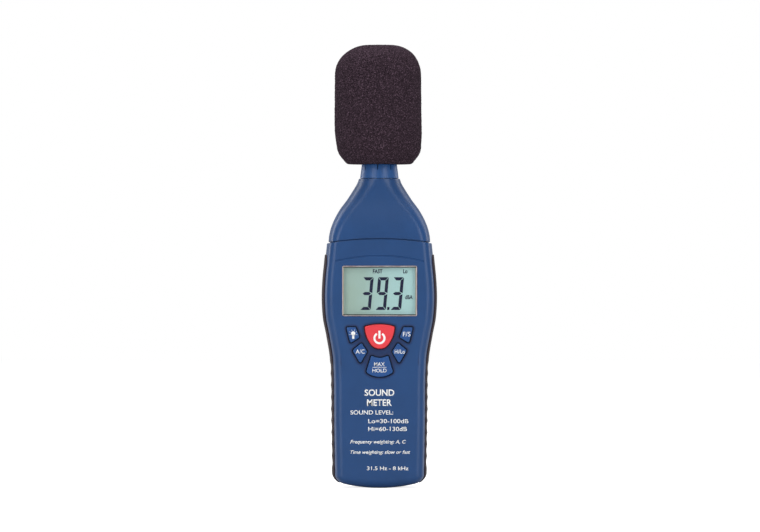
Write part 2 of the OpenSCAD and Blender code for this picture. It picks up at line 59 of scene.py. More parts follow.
# ---- places, in millimetres, from the frame ----
# Heights are measured from the lowest point of the case, as on a drawing of it, and x and depth
# are those of the frame.

MM = 0.001
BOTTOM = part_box("front_shell")[0].z / MM
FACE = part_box("front_shell")[0].y / MM
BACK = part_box("rear_shell")[1].y / MM
MID = (FACE + BACK) / 2
HALF_DEPTH = (BACK - FACE) / 2
HEAD_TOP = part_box("nose_cone")[1].z / MM - BOTTOM
HEAD_HEIGHT = 30.7
SEAM = HEAD_TOP - HEAD_HEIGHT
COLLAR_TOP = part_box("neck_collar")[1].z / MM - BOTTOM
FOAM_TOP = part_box("windscreen")[1].z / MM - BOTTOM
FOAM_RADIUS = (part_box("windscreen")[1].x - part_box("windscreen")[0].x) / 2 / MM
MIC_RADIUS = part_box("mic_barrel")[1].x / MM
MIC_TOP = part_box("mic_grid")[1].z / MM - BOTTOM
WINDOW = [(hi - lo) / MM for lo, hi in zip(*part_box("lcd_window"))]
WINDOW_Z = sum(c.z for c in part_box("lcd_window")) / 2 / MM - BOTTOM
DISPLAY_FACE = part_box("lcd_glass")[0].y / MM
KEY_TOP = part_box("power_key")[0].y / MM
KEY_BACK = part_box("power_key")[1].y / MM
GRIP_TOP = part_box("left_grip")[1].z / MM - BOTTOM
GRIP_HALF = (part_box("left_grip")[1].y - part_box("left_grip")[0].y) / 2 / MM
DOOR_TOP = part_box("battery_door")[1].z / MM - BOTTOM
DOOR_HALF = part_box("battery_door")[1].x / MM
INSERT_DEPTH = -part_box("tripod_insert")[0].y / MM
THREAD_Z = -BOTTOM

# Walls, edges, curves and gaps that the pieces share
WALL = 2.2
EDGE = 4.0
SIDE_CROWN = 1.2
BOTTOM_ARC = 74.0
SEAM_ARCH = 2.0
GRIP_PROUD = 0.5
GRIP_SET = 1.0
GRIP_LOW = 2.5
GRIP_CORNER = 5.0
SCALLOPS = 9
SCALLOP_PITCH = 5.6
SCALLOP_START = 12.0
SEAM_GAP = 0.42
SEAM_WEB = 0.7
PART_GAP = 0.05
POST_SPLIT = -4.9
COLLAR_RADIUS = 9.15
COLLAR_TOP_RADIUS = 8.35
FOAM_LEAN = 0.65
BAY_HALF = 16.8
BAY_BACK = -22.2
BAY_FLOOR = 5.2
BAY_ROOF = 62.0
DOOR_PLATE = 1.2
DOOR_FLANGE = -3.4
DOOR_CAP = 6.0
NECK_HALF_DEPTH = 9.7
NECK_EDGE = 8.8
NECK_CROWN = 0.4

# (height, half-width) stations, joined by the same smooth curve as the frame's
CASE_STATIONS = np.array([(4, 22.05), (30, 22.45), (60, 22.95), (72, 24.75), (80, 26.3), (89, 26.9),
                          (98, 26.6), (108, 25.65), (116, 24.85)])
HEAD_STATIONS = np.array([(115, 24.2), (119, 23.9), (123, 22.95), (127, 21.3), (131.5, 18.8),
                          (136, 15.6), (140, 13), (144, 10.6), (146.4, 9.7)])

# Key outlines: (x, height, corner radius) going round; the right-hand keys are mirrored
CORNER_KEY = [(-15.8, 76.1, 0.7), (-11.3, 76.1, 0.7), (-9.45, 71.3, 0.7), (-13.85, 68.5, 0.7)]
KITE_KEY = [(-8.6, 68.75, 0.7), (-5.85, 64.5, 0.7), (-9.15, 58.75, 0.7), (-12.85, 65.1, 0.7)]
HOLD_KEY = [(-4.0, 62.75, 0.6), (0, 60.9, 7), (4.0, 62.75, 0.6), (6.45, 54.75, 1.2), (0, 50.78, 10.5),
            (-6.45, 54.75, 1.2)]
POWER_KEY = [(-7.2, 76.33, 0.8), (0, 78.18, 24), (7.2, 76.33, 0.8), (6.35, 71.4, 14),
             (2.9, 65.97, 4.8), (-2.9, 65.97, 4.8), (-6.35, 71.4, 14)]
# The darker blue round the keys: its middle's height, and the half-width of the band where the dished
# surrounds and hole lips get painted shade; and how deep the surround of each key is dished
KEYS_MIDDLE = 66.5
KEY_FIELD = 18.5
DISH_DEPTH = 0.07
SCREWS = [(17.2, 66.0), (16.5, 110.0)]
TRIMMER = (13.0, 100.0)

# Studio, in metres and watts: how bright the room is, where the softboxes point, the place, width,
# height and power of each, how the table glows to the camera, its radius in millimetres, and where
# the camera stands
AMBIENT = 0.3
AIM = (0, MID * MM, 0.02)
SOFTBOXES = {
    "left softbox": ((-0.8, -1.15, 0.3), 0.6, 1.2, 7),
    "right softbox": ((0.8, -1.15, 0.3), 0.6, 1.2, 7.5),
    "front top": ((0, -1.0, 1.4), 1.2, 0.6, 6),
    "overhead": ((0, 0.3, 1.5), 1.6, 1.2, 23),
    "behind left": ((-1.1, 0.8, 0.5), 0.6, 1.2, 7),
    "behind right": ((1.1, 0.8, 0.5), 0.6, 1.2, 4.5),
}
TABLE_GLOW = 0.8
TABLE_RADIUS = 4000
VIEW_DISTANCE = 3.0
VIEW_WIDTH = 0.361
VIEW_HEIGHT = 0.025
VIEW_TURN = math.radians(0.5)
VIEW_ASIDE = 0.0003


def mirrored(outline):
    """The outline on the other side of the middle plane."""
    return [(-x, z, r) for x, z, r in outline]


KEYS = {
    "power_key": POWER_KEY,
    "backlight_key": CORNER_KEY,
    "response_key": mirrored(CORNER_KEY),
    "weighting_key": KITE_KEY,
    "range_key": mirrored(KITE_KEY),
    "hold_key": HOLD_KEY,
}


# ---- settings ----

def length(name, text, default, low, high):
    """A length setting, given here in millimetres and kept in metres."""
    return FloatProperty(name=name, description=text, default=default * MM, min=low * MM, max=high * MM,
                         unit="LENGTH", precision=5)


def colour(name, text, default):
    """A colour setting, given as an sRGB hex value."""
    return FloatVectorProperty(name=name, description=text, subtype="COLOR", size=3,
                               default=linear(default)[:3])


def linear(code):
    """Linear RGBA of an sRGB hex value: each channel's gamma curve is undone."""
    srgb = [int(code[i:i + 2], 16) / 255 for i in (1, 3, 5)]
    return tuple(c / 12.92 if c <= 0.04045 else ((c + 0.055) / 1.055) ** 2.4 for c in srgb) + (1.0,)


class MeterSizes(PropertyGroup):
    """Small sizes of the finish that the frame doesn't hold."""

    lip: length("Opening lip", "Radius of the lip round each key hole", 0.22, 0.05, 0.5)
    key_gap: length("Key gap", "Gap round each key at the front", 0.3, 0.15, 0.5)
    dish: length("Key surround", "Width of the dished surround of each key", 1.1, 0.3, 1.5)
    key_edge: length("Key edge", "Radius of the keys' top edge", 0.45, 0.1, 0.6)
    seam_groove: length("Seam groove", "Depth of the groove where the shells meet", 0.35, 0.1, 0.6)
    scallop: length("Scallop", "Depth of the grips' scallops", 0.3, 0.1, 0.45)
    foam_cell: length("Foam cell", "Width of the foam's visible cells", 0.52, 0.3, 1.2)


class MeterColours(PropertyGroup):
    """Colours of the main finishes."""

    case: colour("Case", "Blue of the moulded case", "#1a4274")
    # Also the painted shade in the dished key surrounds and, much darker, the painted shadow on the hole lips
    field: colour("Key field", "Dark blue printed round the keys", "#111f47")
    # Lighter than the case's blue as painted light, making up for the shade the windscreen casts on the collar
    collar: colour("Collar", "Lighter blue of the collar", "#21518c")
    keys: colour("Keys", "Blue of the keys", "#264d86")
    power: colour("Power key", "Red of the power key", "#e23a43")
    grips: colour("Grips", "Brown-black of the side grips", "#2b2127")
    foam: colour("Windscreen", "Dark brown-grey of the foam", "#2e242b")
    print: colour("Print", "White of the printed legends", "#f4f4f2")
    display: colour("Display", "Green-grey of the display's background", "#90a59a")
    segments: colour("Segments", "Blue-black of the display's segments", "#0c1038")


def size(name):
    """A length setting in millimetres."""
    return getattr(bpy.context.scene.meter_sizes, name) / MM


def tint(name):
    """A colour as linear RGBA: a setting by its name, or an sRGB hex value."""
    return linear(name) if name[0] == "#" else (*getattr(bpy.context.scene.meter_colours, name), 1.0)


# ---- curves and surfaces ----

def on_curve(stations, z):
    """Value at z of the cubic through the stations, whose slope at each station is that between its
    neighbours; it stays constant past the ends."""
    x, v = stations[:, 0], stations[:, 1]
    lo, hi = np.maximum(np.arange(len(x)) - 1, 0), np.minimum(np.arange(len(x)) + 1, len(x) - 1)
    m = (v[hi] - v[lo]) / (x[hi] - x[lo])
    z = np.clip(np.asarray(z, float), x[0], x[-1])
    i = np.clip(np.searchsorted(x, z, side="right") - 1, 0, len(x) - 2)
    h = x[i + 1] - x[i]
    t = (z - x[i]) / h
    return ((2 * t ** 3 - 3 * t ** 2 + 1) * v[i] + (t ** 3 - 2 * t ** 2 + t) * h * m[i]
            + (3 * t ** 2 - 2 * t ** 3) * v[i + 1] + (t ** 3 - t ** 2) * h * m[i + 1])


def smooth(t):
    """0 to 1 with flat ends."""
    t = np.clip(t, 0, 1)
    return t * t * (3 - 2 * t)


# Small round lip where the head and the case meet: distance from the edge, and inset
LIP_Z = np.array([0.35, 0.12, 0.0])
LIP_INSET = np.array([0.0, 0.05, 0.22])

ARC_STEPS = 14
FLAT_STEPS = 40
SIDE_STEPS = 10


def sections(w, d, r, c, z, fall, rise):
    """Rings of points round sections of half-width w, half-depth d, edge radius r and side bulge c,
    one ring for each height z. The side is a parabola of height c, the edges are quarter circles and
    the faces are flat; each point then rises by fall * x^2 / 2R, the bottom's arc, and by
    rise * arch * (1 - (x / 25)^2), the seam's arch."""
    w, d, r, c, z, fall, rise = (np.broadcast_to(np.asarray(a, float), np.shape(z))[:, None]
                                 for a in (w, d, r, c, z, fall, rise))
    s = (np.arange(SIDE_STEPS) + 0.5) / SIDE_STEPS
    a = np.radians(180 + 90 * np.arange(ARC_STEPS + 1) / ARC_STEPS)
    left_x = np.hstack([-(w - c * s ** 2), -(w - c - r) + r * np.cos(a)])
    left_y = np.hstack([-s * (d - r), -(d - r) + r * np.sin(a)])
    f = 2 * np.arange(1, FLAT_STEPS) / FLAT_STEPS - 1
    x = np.hstack([left_x, (w - c - r) * f, -left_x[:, ::-1]])
    y = np.hstack([left_y, -d + 0 * f, left_y[:, ::-1]])
    x, y = np.hstack([x, x[:, ::-1]]), np.hstack([y, -y[:, ::-1]])
    height = z + fall * x ** 2 / (2 * BOTTOM_ARC) + rise * SEAM_ARCH * (1 - (x / 25) ** 2)
    return np.stack([x, MID + y, height], axis=-1)


def case_grid(off=0.0, top=SEAM, step=1.5):
    """Rings of the case's skin grown by off: a quarter-round bottom edge, then straight up to a small
    round lip."""
    r = EDGE + off
    a = np.radians(np.linspace(0, 90, 13))
    z = np.concatenate([EDGE - r * np.cos(a), np.arange(EDGE + step, top - 1, step), top - LIP_Z])
    inset = np.concatenate([r * (1 - np.sin(a)), np.zeros(len(z) - len(a) - len(LIP_Z)), LIP_INSET])
    return sections(on_curve(CASE_STATIONS, z) + off - inset, HALF_DEPTH + off - inset,
                    np.maximum(EDGE + off - inset * 0.6, 0.8), SIDE_CROWN, z,
                    np.clip(1 - z / 22, 0, 1), np.clip((z - 100) / (SEAM - 100), 0, 1))


def head_grid(low, high, off=0.0, rows=60):
    """Rings of the head's skin grown by off: the width follows its stations, the depth eases from the
    case's to the neck's, and the wide edges grow round towards the neck."""
    z = np.concatenate([low + LIP_Z[::-1], np.linspace(low, high, rows)[1:]])
    inset = np.concatenate([LIP_INSET[::-1], np.zeros(rows - 1)])
    off = off - inset
    t = (z - SEAM) / (HEAD_TOP - SEAM)
    ease = smooth(t)
    k = np.clip(t, 0, 1)
    return sections(on_curve(HEAD_STATIONS, z) + off,
                    (HALF_DEPTH - 0.5) * (1 - ease) + NECK_HALF_DEPTH * ease + off,
                    np.maximum(EDGE * (1 - k) + NECK_EDGE * k + off, 1),
                    SIDE_CROWN * (1 - k) + NECK_CROWN * k, z, 0, np.clip(1 - t * 1.5, 0, 1))


def place(points):
    """Drawing coordinates in millimetres to the frame's metres."""
    p = np.array(points, float).reshape(-1, 3)
    p[:, 2] += BOTTOM
    return p * MM


def new_object(name, points, faces):
    """A mesh object at the origin from points in drawing millimetres and lists of corners."""
    mesh = bpy.data.meshes.new(name)
    mesh.from_pydata(place(points).tolist(), [], faces)
    mesh.validate()
    obj = bpy.data.objects.new(name, mesh)
    bpy.context.scene.collection.objects.link(obj)
    return obj


def quads(rows, cols):
    """Corners of the quads of a grid of rows by cols points, whose columns close into a ring."""
    i, j = np.meshgrid(np.arange(rows - 1), np.arange(cols), indexing="ij")
    a, b = i * cols + j, i * cols + (j + 1) % cols
    return np.stack([a, b, b + cols, a + cols], axis=-1).reshape(-1, 4).tolist()


def ring_body(name, grid):
    """Closed solid of rings; each end is closed by strips from front to back."""
    rows, cols = grid.shape[:2]
    i = np.arange(cols // 2 - 1)
    low = np.stack([i, cols - 1 - i, cols - 2 - i, i + 1], axis=-1)
    high = low[:, ::-1] + (rows - 1) * cols
    return new_object(name, grid, quads(rows, cols) + low.tolist() + high.tolist())


def revolved(name, profile, steps=128):
    """Solid of revolution about the microphone's axis: the profile (radius, height) is turned through
    a full circle, radius * (cos a, sin a); a radius of 0 is a pole."""
    profile = np.array(profile, float)
    a = np.linspace(0, 2 * np.pi, steps, endpoint=False)
    r, z = profile[:, :1], profile[:, 1:]
    grid = np.stack([r * np.cos(a), MID + r * np.sin(a), z + 0 * a], axis=-1)
    obj = new_object(name, grid, quads(len(profile), steps))
    tidy(obj)
    return obj


def tidy(obj, distance=1e-6):
    """Merges doubles, drops flat faces and turns the faces outwards."""
    bm = bmesh.new()
    bm.from_mesh(obj.data)
    bmesh.ops.remove_doubles(bm, verts=bm.verts, dist=distance)
    bmesh.ops.dissolve_degenerate(bm, edges=bm.edges, dist=distance / 2)
    bmesh.ops.recalc_face_normals(bm, faces=bm.faces)
    bm.to_mesh(obj.data)
    bm.free()


def rounded(outline, steps=8):
    """Outline whose corners are arcs: the arc of radius r touches both sides of the corner, its
    centre on their bisector at r / sin(half the angle)."""
    pts = np.array([(x, z) for x, z, _ in outline], float)
    out = []
    for i, (_, _, r) in enumerate(outline):
        p, u, v = pts[i], pts[i - 1] - pts[i], pts[(i + 1) % len(pts)] - pts[i]
        u, v = u / np.linalg.norm(u), v / np.linalg.norm(v)
        half = math.acos(u @ v) / 2
        centre = p + (u + v) / np.linalg.norm(u + v) * r / math.sin(half)
        a, b = p + u * r / math.tan(half) - centre, p + v * r / math.tan(half) - centre
        start = math.atan2(a[1], a[0])
        turn = (math.atan2(b[1], b[0]) - start + math.pi) % (2 * math.pi) - math.pi
        t = start + turn * np.linspace(0, 1, steps if r < 3 else 2 * steps)
        out.append(centre + r * np.stack([np.cos(t), np.sin(t)], axis=-1))
    return np.concatenate(out)


def rectangle(w, h, r, z=0.0):
    """Rounded rectangle about (0, z), as an outline."""
    return [(-w / 2, z - h / 2, r), (w / 2, z - h / 2, r), (w / 2, z + h / 2, r), (-w / 2, z + h / 2, r)]


def outset(points, distance):
    """Moves each point of a closed outline along its outward normal."""
    ahead, behind = np.roll(points, -1, axis=0), np.roll(points, 1, axis=0)
    t = ahead - behind
    n = np.stack([t[:, 1], -t[:, 0]], axis=-1) / np.linalg.norm(t, axis=1)[:, None]
    area = np.sum(points[:, 0] * ahead[:, 1] - ahead[:, 0] * points[:, 1])
    return points + n * distance * (1 if area > 0 else -1)


def stacked(name, layers):
    """Solid through layers (depth, outline points), each outline with as many points; the ends are
    flat faces, or fans where an outline has shrunk to a point."""
    grid = np.stack([np.stack([o[:, 0], np.full(len(o), y), o[:, 1]], axis=-1) for y, o in layers])
    rows, cols = grid.shape[:2]
    caps = [list(range(cols)), list(range((rows - 1) * cols, rows * cols))]
    obj = new_object(name, grid, quads(rows, cols) + caps)
    tidy(obj)
    return obj


def opening(outline, depth, gap, lip, dish=0.0):
    """Cutter for an opening in the front face with a rounded lip: the outline grown by gap, flaring
    out by a quarter circle of radius lip. Round it the face may be dished: it falls away by
    DISH_DEPTH over the width dish."""
    pts = rounded(outline)
    fall = DISH_DEPTH if dish else 0.0
    wide = outset(pts, gap + lip + dish * 1.5)
    layers = [(FACE - 2, wide), (FACE - fall / 2, wide)]
    for t in np.radians(np.linspace(0, 90, 6)):
        layers.append((FACE + fall + lip * (1 - math.cos(t)), outset(pts, gap + lip * (1 - math.sin(t)))))
    return stacked("cutter", layers + [(depth, outset(pts, gap))])


def slab(outline, y0, y1):
    """Prism of a rounded outline between two depths."""
    pts = rounded(outline)
    return stacked("cutter", [(y0, pts), (y1, pts)])


def peg(at, y0, y1, r, steps=48):
    """Cylinder along the depth at (x, height)."""
    a = np.linspace(0, 2 * np.pi, steps, endpoint=False)
    pts = np.stack([at[0] + r * np.cos(a), at[1] + r * np.sin(a)], axis=-1)
    return stacked("cutter", [(y0, pts), (y1, pts)])


def block(low, high):
    """Box between two corners, whose eight corners are the products of its sides."""
    x, y, z = np.array([low, high], float).T
    points = [(x[i], y[j], z[k]) for i in (0, 1) for j in (0, 1) for k in (0, 1)]
    faces = [(0, 1, 3, 2), (4, 6, 7, 5), (0, 4, 5, 1), (2, 3, 7, 6), (0, 2, 6, 4), (1, 5, 7, 3)]
    obj = new_object("cutter", points, faces)
    tidy(obj)
    return obj


def rod(a, b, r, steps=16):
    """Bar with round ends: circles of radius r * cos(t) along the line from a to b, drawn in to a
    point past each end."""
    a, b = np.array(a, float), np.array(b, float)
    t = (b - a) / np.linalg.norm(b - a)
    u = np.cross(t, (0.3, 0.5, 0.8))
    u /= np.linalg.norm(u)
    v = np.cross(t, u)
    lat = np.radians(np.linspace(-90, 90, 10))
    along = np.concatenate([np.outer(r * np.sin(lat[:5]), t) + a, np.outer(r * np.sin(lat[5:]), t) + b])
    ang = np.linspace(0, 2 * np.pi, steps, endpoint=False)
    circle = np.outer(np.cos(ang), u) + np.outer(np.sin(ang), v)
    grid = along[:, None, :] + r * np.cos(lat)[:, None, None] * circle[None]
    obj = new_object("cutter", grid, quads(len(lat), steps))
    tidy(obj)
    return obj


def combine(obj, tools, operation="DIFFERENCE"):
    """Cuts, joins or intersects obj with each tool in turn and removes the tools."""
    for tool in tools:
        mod = obj.modifiers.new("combine", "BOOLEAN")
        mod.object, mod.operation, mod.solver = tool, operation, "MANIFOLD"
        bpy.context.view_layer.update()
        graph = bpy.context.evaluated_depsgraph_get()
        mesh = bpy.data.meshes.new_from_object(obj.evaluated_get(graph))
        obj.modifiers.clear()
        old, obj.data = obj.data, mesh
        bpy.data.meshes.remove(old)
        bpy.data.objects.remove(tool)
        if not mesh.polygons:
            raise RuntimeError(f"{obj.name}: {operation} left nothing")
    return obj


def shade(obj, degrees=32):
    """Smooth faces, with sharp edges where faces meet at more than this angle, and normals weighted
    by face size so that the flats stay flat."""
    mesh = obj.data
    mesh.polygons.foreach_set("use_smooth", np.ones(len(mesh.polygons), bool))
    mesh.set_sharp_from_angle(angle=math.radians(degrees))
    mod = obj.modifiers.new("normals", "WEIGHTED_NORMAL")
    mod.keep_sharp, mod.weight = True, 60
    return obj


def piece(obj, name, body, material, slot, *nodes):
    """Names a finished piece, gives it its material and its body, and hides the nodes it replaces."""
    obj.name = obj.data.name = name
    obj.data.materials.clear()
    obj.data.materials.append(material)
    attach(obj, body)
    if nodes:
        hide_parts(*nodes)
    return obj


def joined(objects, name):
    """One object of several that ride together."""
    bm = bmesh.new()
    for obj in objects:
        bm.from_mesh(obj.data)
        bpy.data.objects.remove(obj)
    mesh = bpy.data.meshes.new(name)
    bm.to_mesh(mesh)
    bm.free()
    out = bpy.data.objects.new(name, mesh)
    bpy.context.scene.collection.objects.link(out)
    return out


# ---- materials ----

# The two colour inputs of a mix node, and its colour output
LOW, HIGH, MIXED = 6, 7, 2

# The range that holds most of a noise's values
MOST = {"From Min": 0.35, "From Max": 0.65}


def add(tree, kind, inputs, output=0, **settings):
    """Adds a shader node with its settings and gives one of its output sockets, by place or name. An
    input given as a socket is linked, and any other is a value."""
    made = tree.nodes.new("ShaderNode" + kind)
    for key, value in settings.items():
        setattr(made, key, value)
    for key, value in inputs.items():
        if isinstance(value, bpy.types.NodeSocket):
            tree.links.new(value, made.inputs[key])
        else:
            made.inputs[key].default_value = value
    return made.outputs[output] if made.outputs else None


def per_metre(mm):
    """Scale of a pattern whose parts are mm wide, in coordinates given in metres."""
    return 1 / (mm * MM)


def scaled(rgba, by):
    """The colour made lighter or darker by a factor."""
    return (*(min(c * by, 1.0) for c in rgba[:3]), 1.0)


def mould_texture(tree, where, base, flow_mm, texture_mm, mottle):
    """The grain of a spark-eroded mould, and the colour it gives: the base colour times the slow,
    cloudy flow of the plastic and the grain's faint speckle."""
    slow = add(tree, "TexNoise", {"Vector": where, "Scale": per_metre(flow_mm), "Detail": 2.0})
    flow = add(tree, "MapRange", {"Value": slow, **MOST, "To Min": 1 - mottle, "To Max": 1 + mottle})
    grain = add(tree, "TexNoise", {"Vector": where, "Scale": per_metre(texture_mm), "Detail": 3.0})
    speckle = add(tree, "MapRange", {"Value": grain, **MOST, "To Min": 0.97, "To Max": 1.03})
    uneven = add(tree, "Math", {0: flow, 1: speckle}, operation="MULTIPLY")
    return grain, add(tree, "VectorMath", {0: tint(base)[:3], "Scale": uneven}, operation="SCALE")


def moulded(tree, where, base, rough=0.42, texture_mm=0.28, depth_mm=0.012, mottle=0.05, spec=0.5):
    """Moulded plastic or rubber: the mould's spark-eroded texture, about a quarter of a millimetre
    across, gives a soft satin sheen; flow in the mould leaves the colour a trifle uneven over
    centimetres."""
    grain, tone = mould_texture(tree, where, base, 14.0, texture_mm, mottle)
    sheen = add(tree, "MapRange", {"Value": grain, **MOST, "To Min": rough - 0.05, "To Max": rough + 0.07})
    dents = add(tree, "Bump", {"Height": grain, "Distance": depth_mm * MM})
    return add(tree, "BsdfPrincipled", {"Base Color": tone, "Roughness": sheen, "Normal": dents,
                                        "IOR": 1.46, "Specular IOR Level": spec})


def case_abs(tree, where):
    """ABS moulded with a fine spark texture, which gives a satin sheen. The colour turns a darker blue
    round the middle of the keys. In the dished surround of each key it is painted darker with the dish, as
    shade, and on the lip of each hole it is painted black, as shadow. The mould's flow leaves the colour
    slightly uneven."""
    grain, plain = mould_texture(tree, where, "case", 16.0, 0.28, 0.05)
    middle = (0.0, FACE * MM, (KEYS_MIDDLE + BOTTOM) * MM)
    away = add(tree, "VectorMath", {0: where, 1: middle}, "Value", operation="DISTANCE")

    def until(start, end, most):
        """Most within start mm of the middle, and nothing beyond end mm."""
        return add(tree, "MapRange", {"Value": away, "From Min": start * MM, "From Max": end * MM,
                                      "To Min": most, "To Max": 0.0}, interpolation_type="SMOOTHSTEP")

    axes = add(tree, "SeparateXYZ", {0: where}).node.outputs

    def deeper(start, end, most):
        """Nothing at start mm below the face, and most at end mm below it."""
        return add(tree, "MapRange", {"Value": axes["Y"], "From Min": (FACE + start) * MM,
                                      "From Max": (FACE + end) * MM, "To Max": most})

    aside = add(tree, "Math", {0: axes["X"]}, operation="ABSOLUTE")
    inner = add(tree, "Math", {0: aside, 1: KEY_FIELD * MM}, operation="LESS_THAN")
    near = add(tree, "Math", {0: inner, 1: until(19.5, 20.5, 1.0)}, operation="MULTIPLY")
    # Painted shade: the surround of each key darkens as it dishes below the face
    dish_shade = add(tree, "Math", {0: deeper(0.0, DISH_DEPTH, 0.85), 1: near}, operation="MULTIPLY")
    # Painted shadow: the lips of the key holes turn near black
    lip_shadow = add(tree, "Math", {0: deeper(DISH_DEPTH - 0.01, DISH_DEPTH + 0.02, 1.0), 1: near},
               operation="MULTIPLY")
    field = tint("field")
    # The darker blue round the keys, then the painted shade of the dishes and the painted shadow on the hole
    # lips
    field_and_shade = plain
    for share, dark_tone in ((until(8.5, 14.5, 0.7), field), (dish_shade, field), (lip_shadow, scaled(field, 0.1))):
        field_and_shade = add(tree, "Mix", {"Factor": share, LOW: field_and_shade, HIGH: dark_tone}, MIXED, data_type="RGBA")
    sheen = add(tree, "MapRange", {"Value": grain, **MOST, "To Min": 0.3, "To Max": 0.42})
    dents = add(tree, "Bump", {"Height": grain, "Distance": 0.002 * MM})
    return add(tree, "BsdfPrincipled", {"Base Color": field_and_shade, "Roughness": sheen, "Normal": dents,
                                        "IOR": 1.5, "Specular IOR Level": 0.4})


def grip_rubber(tree, where):
    """Thermoplastic rubber from a matt mould: nearly black, with a soft dull sheen and slightly
    lighter patches where hands have worn it."""
    grain = add(tree, "TexNoise", {"Vector": where, "Scale": per_metre(0.35), "Detail": 4.0})
    patches = add(tree, "TexNoise", {"Vector": where, "Scale": per_metre(6.0), "Detail": 2.0})
    wear = add(tree, "MapRange", {"Value": patches, **MOST, "To Min": 0.0, "To Max": 0.35})
    tone = add(tree, "Mix", {"Factor": wear, LOW: tint("grips"), HIGH: scaled(tint("grips"), 1.7)}, MIXED,
               data_type="RGBA")
    sheen = add(tree, "MapRange", {"Value": grain, **MOST, "To Min": 0.55, "To Max": 0.72})
    dents = add(tree, "Bump", {"Height": grain, "Distance": 0.03 * MM})
    return add(tree, "BsdfPrincipled", {"Base Color": tone, "Roughness": sheen, "Normal": dents,
                                        "IOR": 1.4, "Specular IOR Level": 0.18})


def open_cell_foam(tree, where):
    """Open-cell polyurethane foam, cut: the real cells are about a third of a millimetre across, and
    are drawn at half a millimetre so that they show. The pits are painted dark, as shade in the cells,
    and cut cell walls are painted light as small flecks, a painted highlight where they catch the light."""
    scale = per_metre(size("foam_cell"))
    cells = add(tree, "TexVoronoi", {"Vector": where, "Scale": scale, "Randomness": 1.0}, "Distance")
    pits = add(tree, "MapRange", {"Value": cells, "From Min": 0.1, "From Max": 0.75})
    walls = add(tree, "TexNoise", {"Vector": where, "Scale": scale, "Detail": 2.0, "Roughness": 0.7})
    flecks = add(tree, "MapRange", {"Value": walls, "From Min": 0.51, "From Max": 0.66})
    base = tint("foam")
    # Painted shade in the pits and painted highlight on the flecks
    body = add(tree, "Mix", {"Factor": pits, LOW: scaled(base, 0.3), HIGH: scaled(base, 1.5)}, MIXED,
               data_type="RGBA")
    tone = add(tree, "Mix", {"Factor": flecks, LOW: body, HIGH: scaled(base, 6.0)}, MIXED, data_type="RGBA")
    height = add(tree, "Math", {0: pits, 1: flecks}, operation="ADD")
    dents = add(tree, "Bump", {"Height": height, "Distance": 0.3 * MM})
    return add(tree, "BsdfPrincipled", {"Base Color": tone, "Roughness": 0.95, "Normal": dents,
                                        "IOR": 1.4, "Specular IOR Level": 0.03})


def ink(tree, where, base, spec=0.5):
    """Screen-printed ink: even, slightly grainy where it took on the texture below."""
    grain = add(tree, "TexNoise", {"Vector": where, "Scale": per_metre(0.2), "Detail": 2.0})
    thin = add(tree, "MapRange", {"Value": grain, **MOST, "To Min": 0.0, "To Max": 0.2})
    tone = add(tree, "Mix", {"Factor": thin, LOW: tint(base), HIGH: scaled(tint(base), 0.8)}, MIXED,
               data_type="RGBA")
    dents = add(tree, "Bump", {"Height": grain, "Distance": 0.004 * MM})
    return add(tree, "BsdfPrincipled", {"Base Color": tone, "Roughness": 0.5, "Normal": dents, "IOR": 1.5,
                                        "Specular IOR Level": spec})


def display_cell(tree, where):
    """Reflective liquid crystal cell: grey-green, turning pale blue-green to the right, with the faint
    cloudiness of the reflector behind the polariser. It also glows faintly in its own colour, painted
    light that lifts the shade of its recess."""
    across = add(tree, "SeparateXYZ", {0: where}, "X")
    side = add(tree, "MapRange", {"Value": across, "From Min": -WINDOW[0] / 2 * MM,
                                  "From Max": WINDOW[0] / 2 * MM}, interpolation_type="SMOOTHSTEP")
    tone = add(tree, "Mix", {"Factor": side, LOW: tint("display"), HIGH: tint("#9fc1c0")}, MIXED,
               data_type="RGBA")
    cloud = add(tree, "TexNoise", {"Vector": where, "Scale": per_metre(9.0), "Detail": 1.0})
    share = add(tree, "MapRange", {"Value": cloud, **MOST, "To Min": 0.0, "To Max": 0.12})
    tone = add(tree, "Mix", {"Factor": share, LOW: tone, HIGH: tint("#aacbd3")}, MIXED, data_type="RGBA")
    grain = add(tree, "TexNoise", {"Vector": where, "Scale": per_metre(0.4), "Detail": 2.0})
    dents = add(tree, "Bump", {"Height": grain, "Distance": 0.002 * MM})
    # The emission is painted light: the cell glows faintly in its own colour to lift the shade of its recess
    return add(tree, "BsdfPrincipled", {"Base Color": tone, "Roughness": 0.35, "Normal": dents, "IOR": 1.5,
                                        "Specular IOR Level": 0.2, "Emission Color": tone,
                                        "Emission Strength": 0.3})


